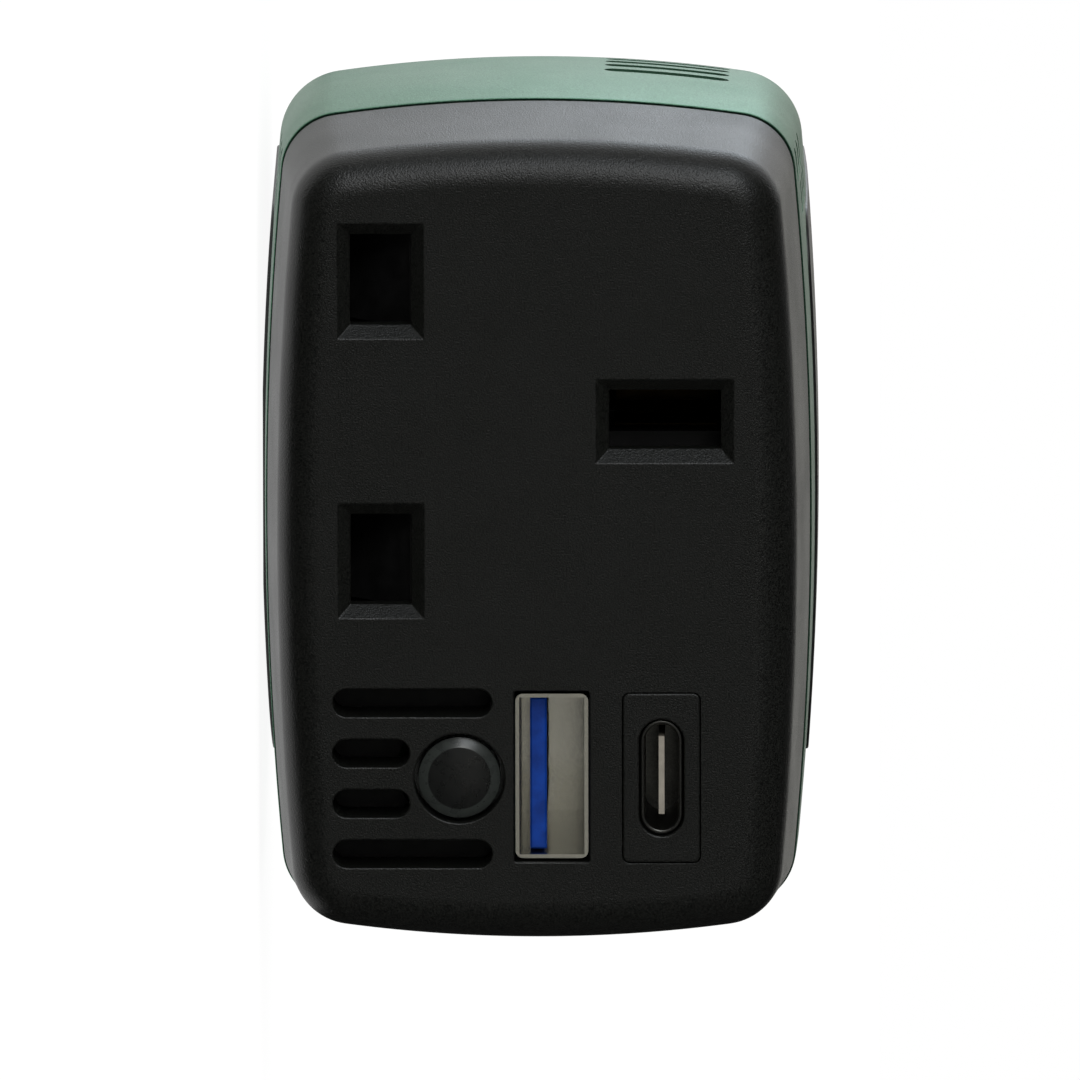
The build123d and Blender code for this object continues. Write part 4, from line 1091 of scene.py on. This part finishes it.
floor_half = 15.0
floor_white_share = 0.8
floor_mirror_share = 0.6
floor_white_level = 1.15
world_light = 0.6
cloth_radius = 2.4
cloth_height = 3.0
cloth_rise = 0.0002
cloth_front_y = -0.0388
cloth_side_x = 0.036
cloth_back_y = 0.045
cloth_turns = (105.0, 178.0)
cloth_steps = 60
card_edges = ((2.0, -0.1, 0.9, 0.15, 1.2), (-2.2, -0.65, 0.65, 0.0, 0.32))


def floor_material():
    """Pale matt paper: the camera and mirrors see it white, shadows stay on it."""
    material, tree, place = empty_material("matt_paper")
    fibres = grain(tree, place, 1.5, 3.0)
    paper = add(tree, "ShaderNodeBsdfPrincipled",
                {"Base Color": shades(tree, fibres, "#ecebe9", "#f1f0ee"),
                 "Normal": relief(tree, fibres, 0.02)}, Roughness=0.9)
    white = add(tree, "ShaderNodeEmission", Color=(1, 1, 1, 1), Strength=floor_white_level)
    path = add(tree, "ShaderNodeLightPath")
    share = add(tree, "ShaderNodeMapRange", {"Value": seen_directly(tree)},
                To_Max=floor_mirror_share)
    whole = add(tree, "ShaderNodeMapRange", {"Value": path.outputs["Is Camera Ray"],
                                             "To Min": share.outputs["Result"]},
                To_Max=floor_white_share)
    mix = add(tree, "ShaderNodeMixShader", {0: whole.outputs["Result"], 1: paper.outputs[0],
                                            2: white.outputs[0]})
    add(tree, "ShaderNodeOutputMaterial", {"Surface": mix.outputs[0]})
    return material


def seen_directly(tree):
    """1 for camera, glossy and transmission rays, so that mirrors show the backdrop too."""
    path = add(tree, "ShaderNodeLightPath")
    first = add(tree, "ShaderNodeMath", {0: path.outputs["Is Camera Ray"],
                                         1: path.outputs["Is Glossy Ray"]}, operation="MAXIMUM")
    both = add(tree, "ShaderNodeMath", {0: first.outputs[0],
                                        1: path.outputs["Is Transmission Ray"]},
               operation="MAXIMUM")
    return both.outputs[0]


def studio_world():
    """White surroundings, dimmer for the light that they give than for the eye."""
    world = bpy.data.worlds.new("studio")
    bpy.context.scene.world = world
    world.use_nodes = True
    tree = world.node_tree
    tree.nodes.clear()
    seen = seen_directly(tree)
    level = add(tree, "ShaderNodeMapRange", {"Value": seen}, To_Min=world_light, To_Max=1.0)
    sky = add(tree, "ShaderNodeBackground", {"Strength": level.outputs["Result"]},
              Color=(1, 1, 1, 1))
    add(tree, "ShaderNodeOutputWorld", {"Surface": sky.outputs[0]})


def lamp(name, place, size, power, colour="#ffffff"):
    """A square soft box at a place in metres, turned to the middle of the object."""
    data = bpy.data.lights.new(name, "AREA")
    data.size, data.energy, data.color = size, power, linear(colour)[:3]
    made = bpy.data.objects.new(name, data)
    bpy.context.scene.collection.objects.link(made)
    target = Vector((0, rest_middle_y, mid_z)) * MM
    made.location = place
    made.rotation_euler = (target - Vector(place)).to_track_quat("-Z", "Y").to_euler()
    made.visible_camera = False


def cloth(name, points, quads, dark, light):
    """Matt cloth as studios use it, there for mirror-like faces alone."""
    mesh = bpy.data.meshes.new(name)
    mesh.from_pydata(np.asarray(points, float).tolist(), [], quads)
    made = bpy.data.objects.new(name, mesh)
    bpy.context.scene.collection.objects.link(made)
    material, tree, place = empty_material(name)
    surface(tree, shades(tree, grain(tree, place, 20.0), dark, light),
            spread(tree, grain(tree, place, 5.0), 0.85, 0.95),
            relief(tree, grain(tree, place, 2.0), 0.2))
    mesh.materials.append(material)
    made.visible_camera = made.visible_diffuse = made.visible_shadow = False


def level_sheet(low, high, height):
    """Corners of a level rectangle between two corners."""
    return [(low[0], low[1], height), (high[0], low[1], height),
            (high[0], high[1], height), (low[0], high[1], height)]


def hang_cloths():
    """Dark: an arc of a circle about the object, a ceiling and sheets lying on three sides.

    The floor stays bare at the -X side and under the object. Two pale cards stand before it
    and behind it.
    """
    turn = np.radians(np.linspace(-cloth_turns[0], cloth_turns[1], cloth_steps) - 90)
    foot = np.column_stack([np.cos(turn) * cloth_radius, np.sin(turn) * cloth_radius,
                            np.full(len(turn), cloth_rise)])
    points = [*foot, *(foot + (0, 0, cloth_height)),
              *level_sheet((-cloth_radius, -cloth_radius), (cloth_radius, cloth_radius),
                           cloth_height),
              *level_sheet((-cloth_radius, -cloth_radius), (cloth_radius, cloth_front_y),
                           cloth_rise),
              *level_sheet((cloth_side_x, cloth_front_y), (cloth_radius, cloth_radius),
                           cloth_rise),
              *level_sheet((-cloth_side_x, cloth_back_y), (cloth_side_x, cloth_radius),
                           cloth_rise)]
    wall = np.arange(len(turn) - 1)
    quads = np.stack([wall, wall + 1, wall + 1 + len(turn), wall + len(turn)], -1).tolist()
    quads += np.arange(2 * len(turn), len(points)).reshape(-1, 4).tolist()
    cloth("dark_cloth", points, quads, "#262626", "#2e2e2e")
    points = [corner for y, x0, x1, z0, z1 in card_edges
              for corner in ((x0, y, z0), (x1, y, z0), (x1, y, z1), (x0, y, z1))]
    cloth("pale_cards", points, [[0, 1, 2, 3], [4, 5, 6, 7]], "#f8f7f0", "#fcfbf4")


floor_mesh = bpy.data.meshes.new("floor")
floor_mesh.from_pydata([(-floor_half, -floor_half, 0), (floor_half, -floor_half, 0),
                        (floor_half, floor_half, 0), (-floor_half, floor_half, 0)], [],
                       [(0, 1, 2, 3)])
floor = bpy.data.objects.new("floor", floor_mesh)
bpy.context.scene.collection.objects.link(floor)
floor.data.materials.append(floor_material())
studio_world()
hang_cloths()
lamp("key_box", (-0.95, -0.74, 0.3), 0.5, 3.2, "#f4faff")
lamp("front_box", (-1.09, -1.68, 0.2), 0.5, 8.0)
lamp("rim_box", (-0.85, 1.3, 0.3), 0.7, 4.4, "#e6f4ff")


# Camera: nearly square to the face, its top towards -X, seen a little from that side

view_raise = 10.5
view_turn = 0.58
camera_distance = 3.8
pixels_per_mm = 12.78
picture_pixels = 1080
face_centre_pixel = (536.8, 544.5)


def photo_camera():
    """A long lens aimed so that the face's middle lands on its pixel of the picture.

    The raise and the turn are in degrees, the distance is in metres.
    """
    back = Vector((-sin(radians(view_raise)), -cos(radians(view_raise)) * cos(radians(view_turn)),
                   sin(radians(view_turn)))).normalized()
    right = Vector((0, 0, 1))
    right = (right - back * right.dot(back)).normalized()
    up = back.cross(right)
    aim = Vector((0, face_y, mid_z)) * MM
    aim += right * (picture_pixels / 2 - face_centre_pixel[0]) / pixels_per_mm * MM
    aim += up * (face_centre_pixel[1] - picture_pixels / 2) / pixels_per_mm * MM
    data = bpy.data.cameras.new("photo_camera")
    data.sensor_width = 36.0
    data.lens = data.sensor_width * camera_distance / (picture_pixels / pixels_per_mm * MM)
    data.clip_start, data.clip_end = 1.0, 60.0
    made = bpy.data.objects.new("photo_camera", data)
    made.matrix_world = Matrix.Translation(aim + back * camera_distance) @ Matrix(
        (right, up, back)).transposed().to_4x4()
    bpy.context.scene.collection.objects.link(made)
    bpy.context.scene.camera = made


photo_camera()
bpy.context.scene.view_settings.view_transform = "Standard"
bpy.context.view_layer.update()
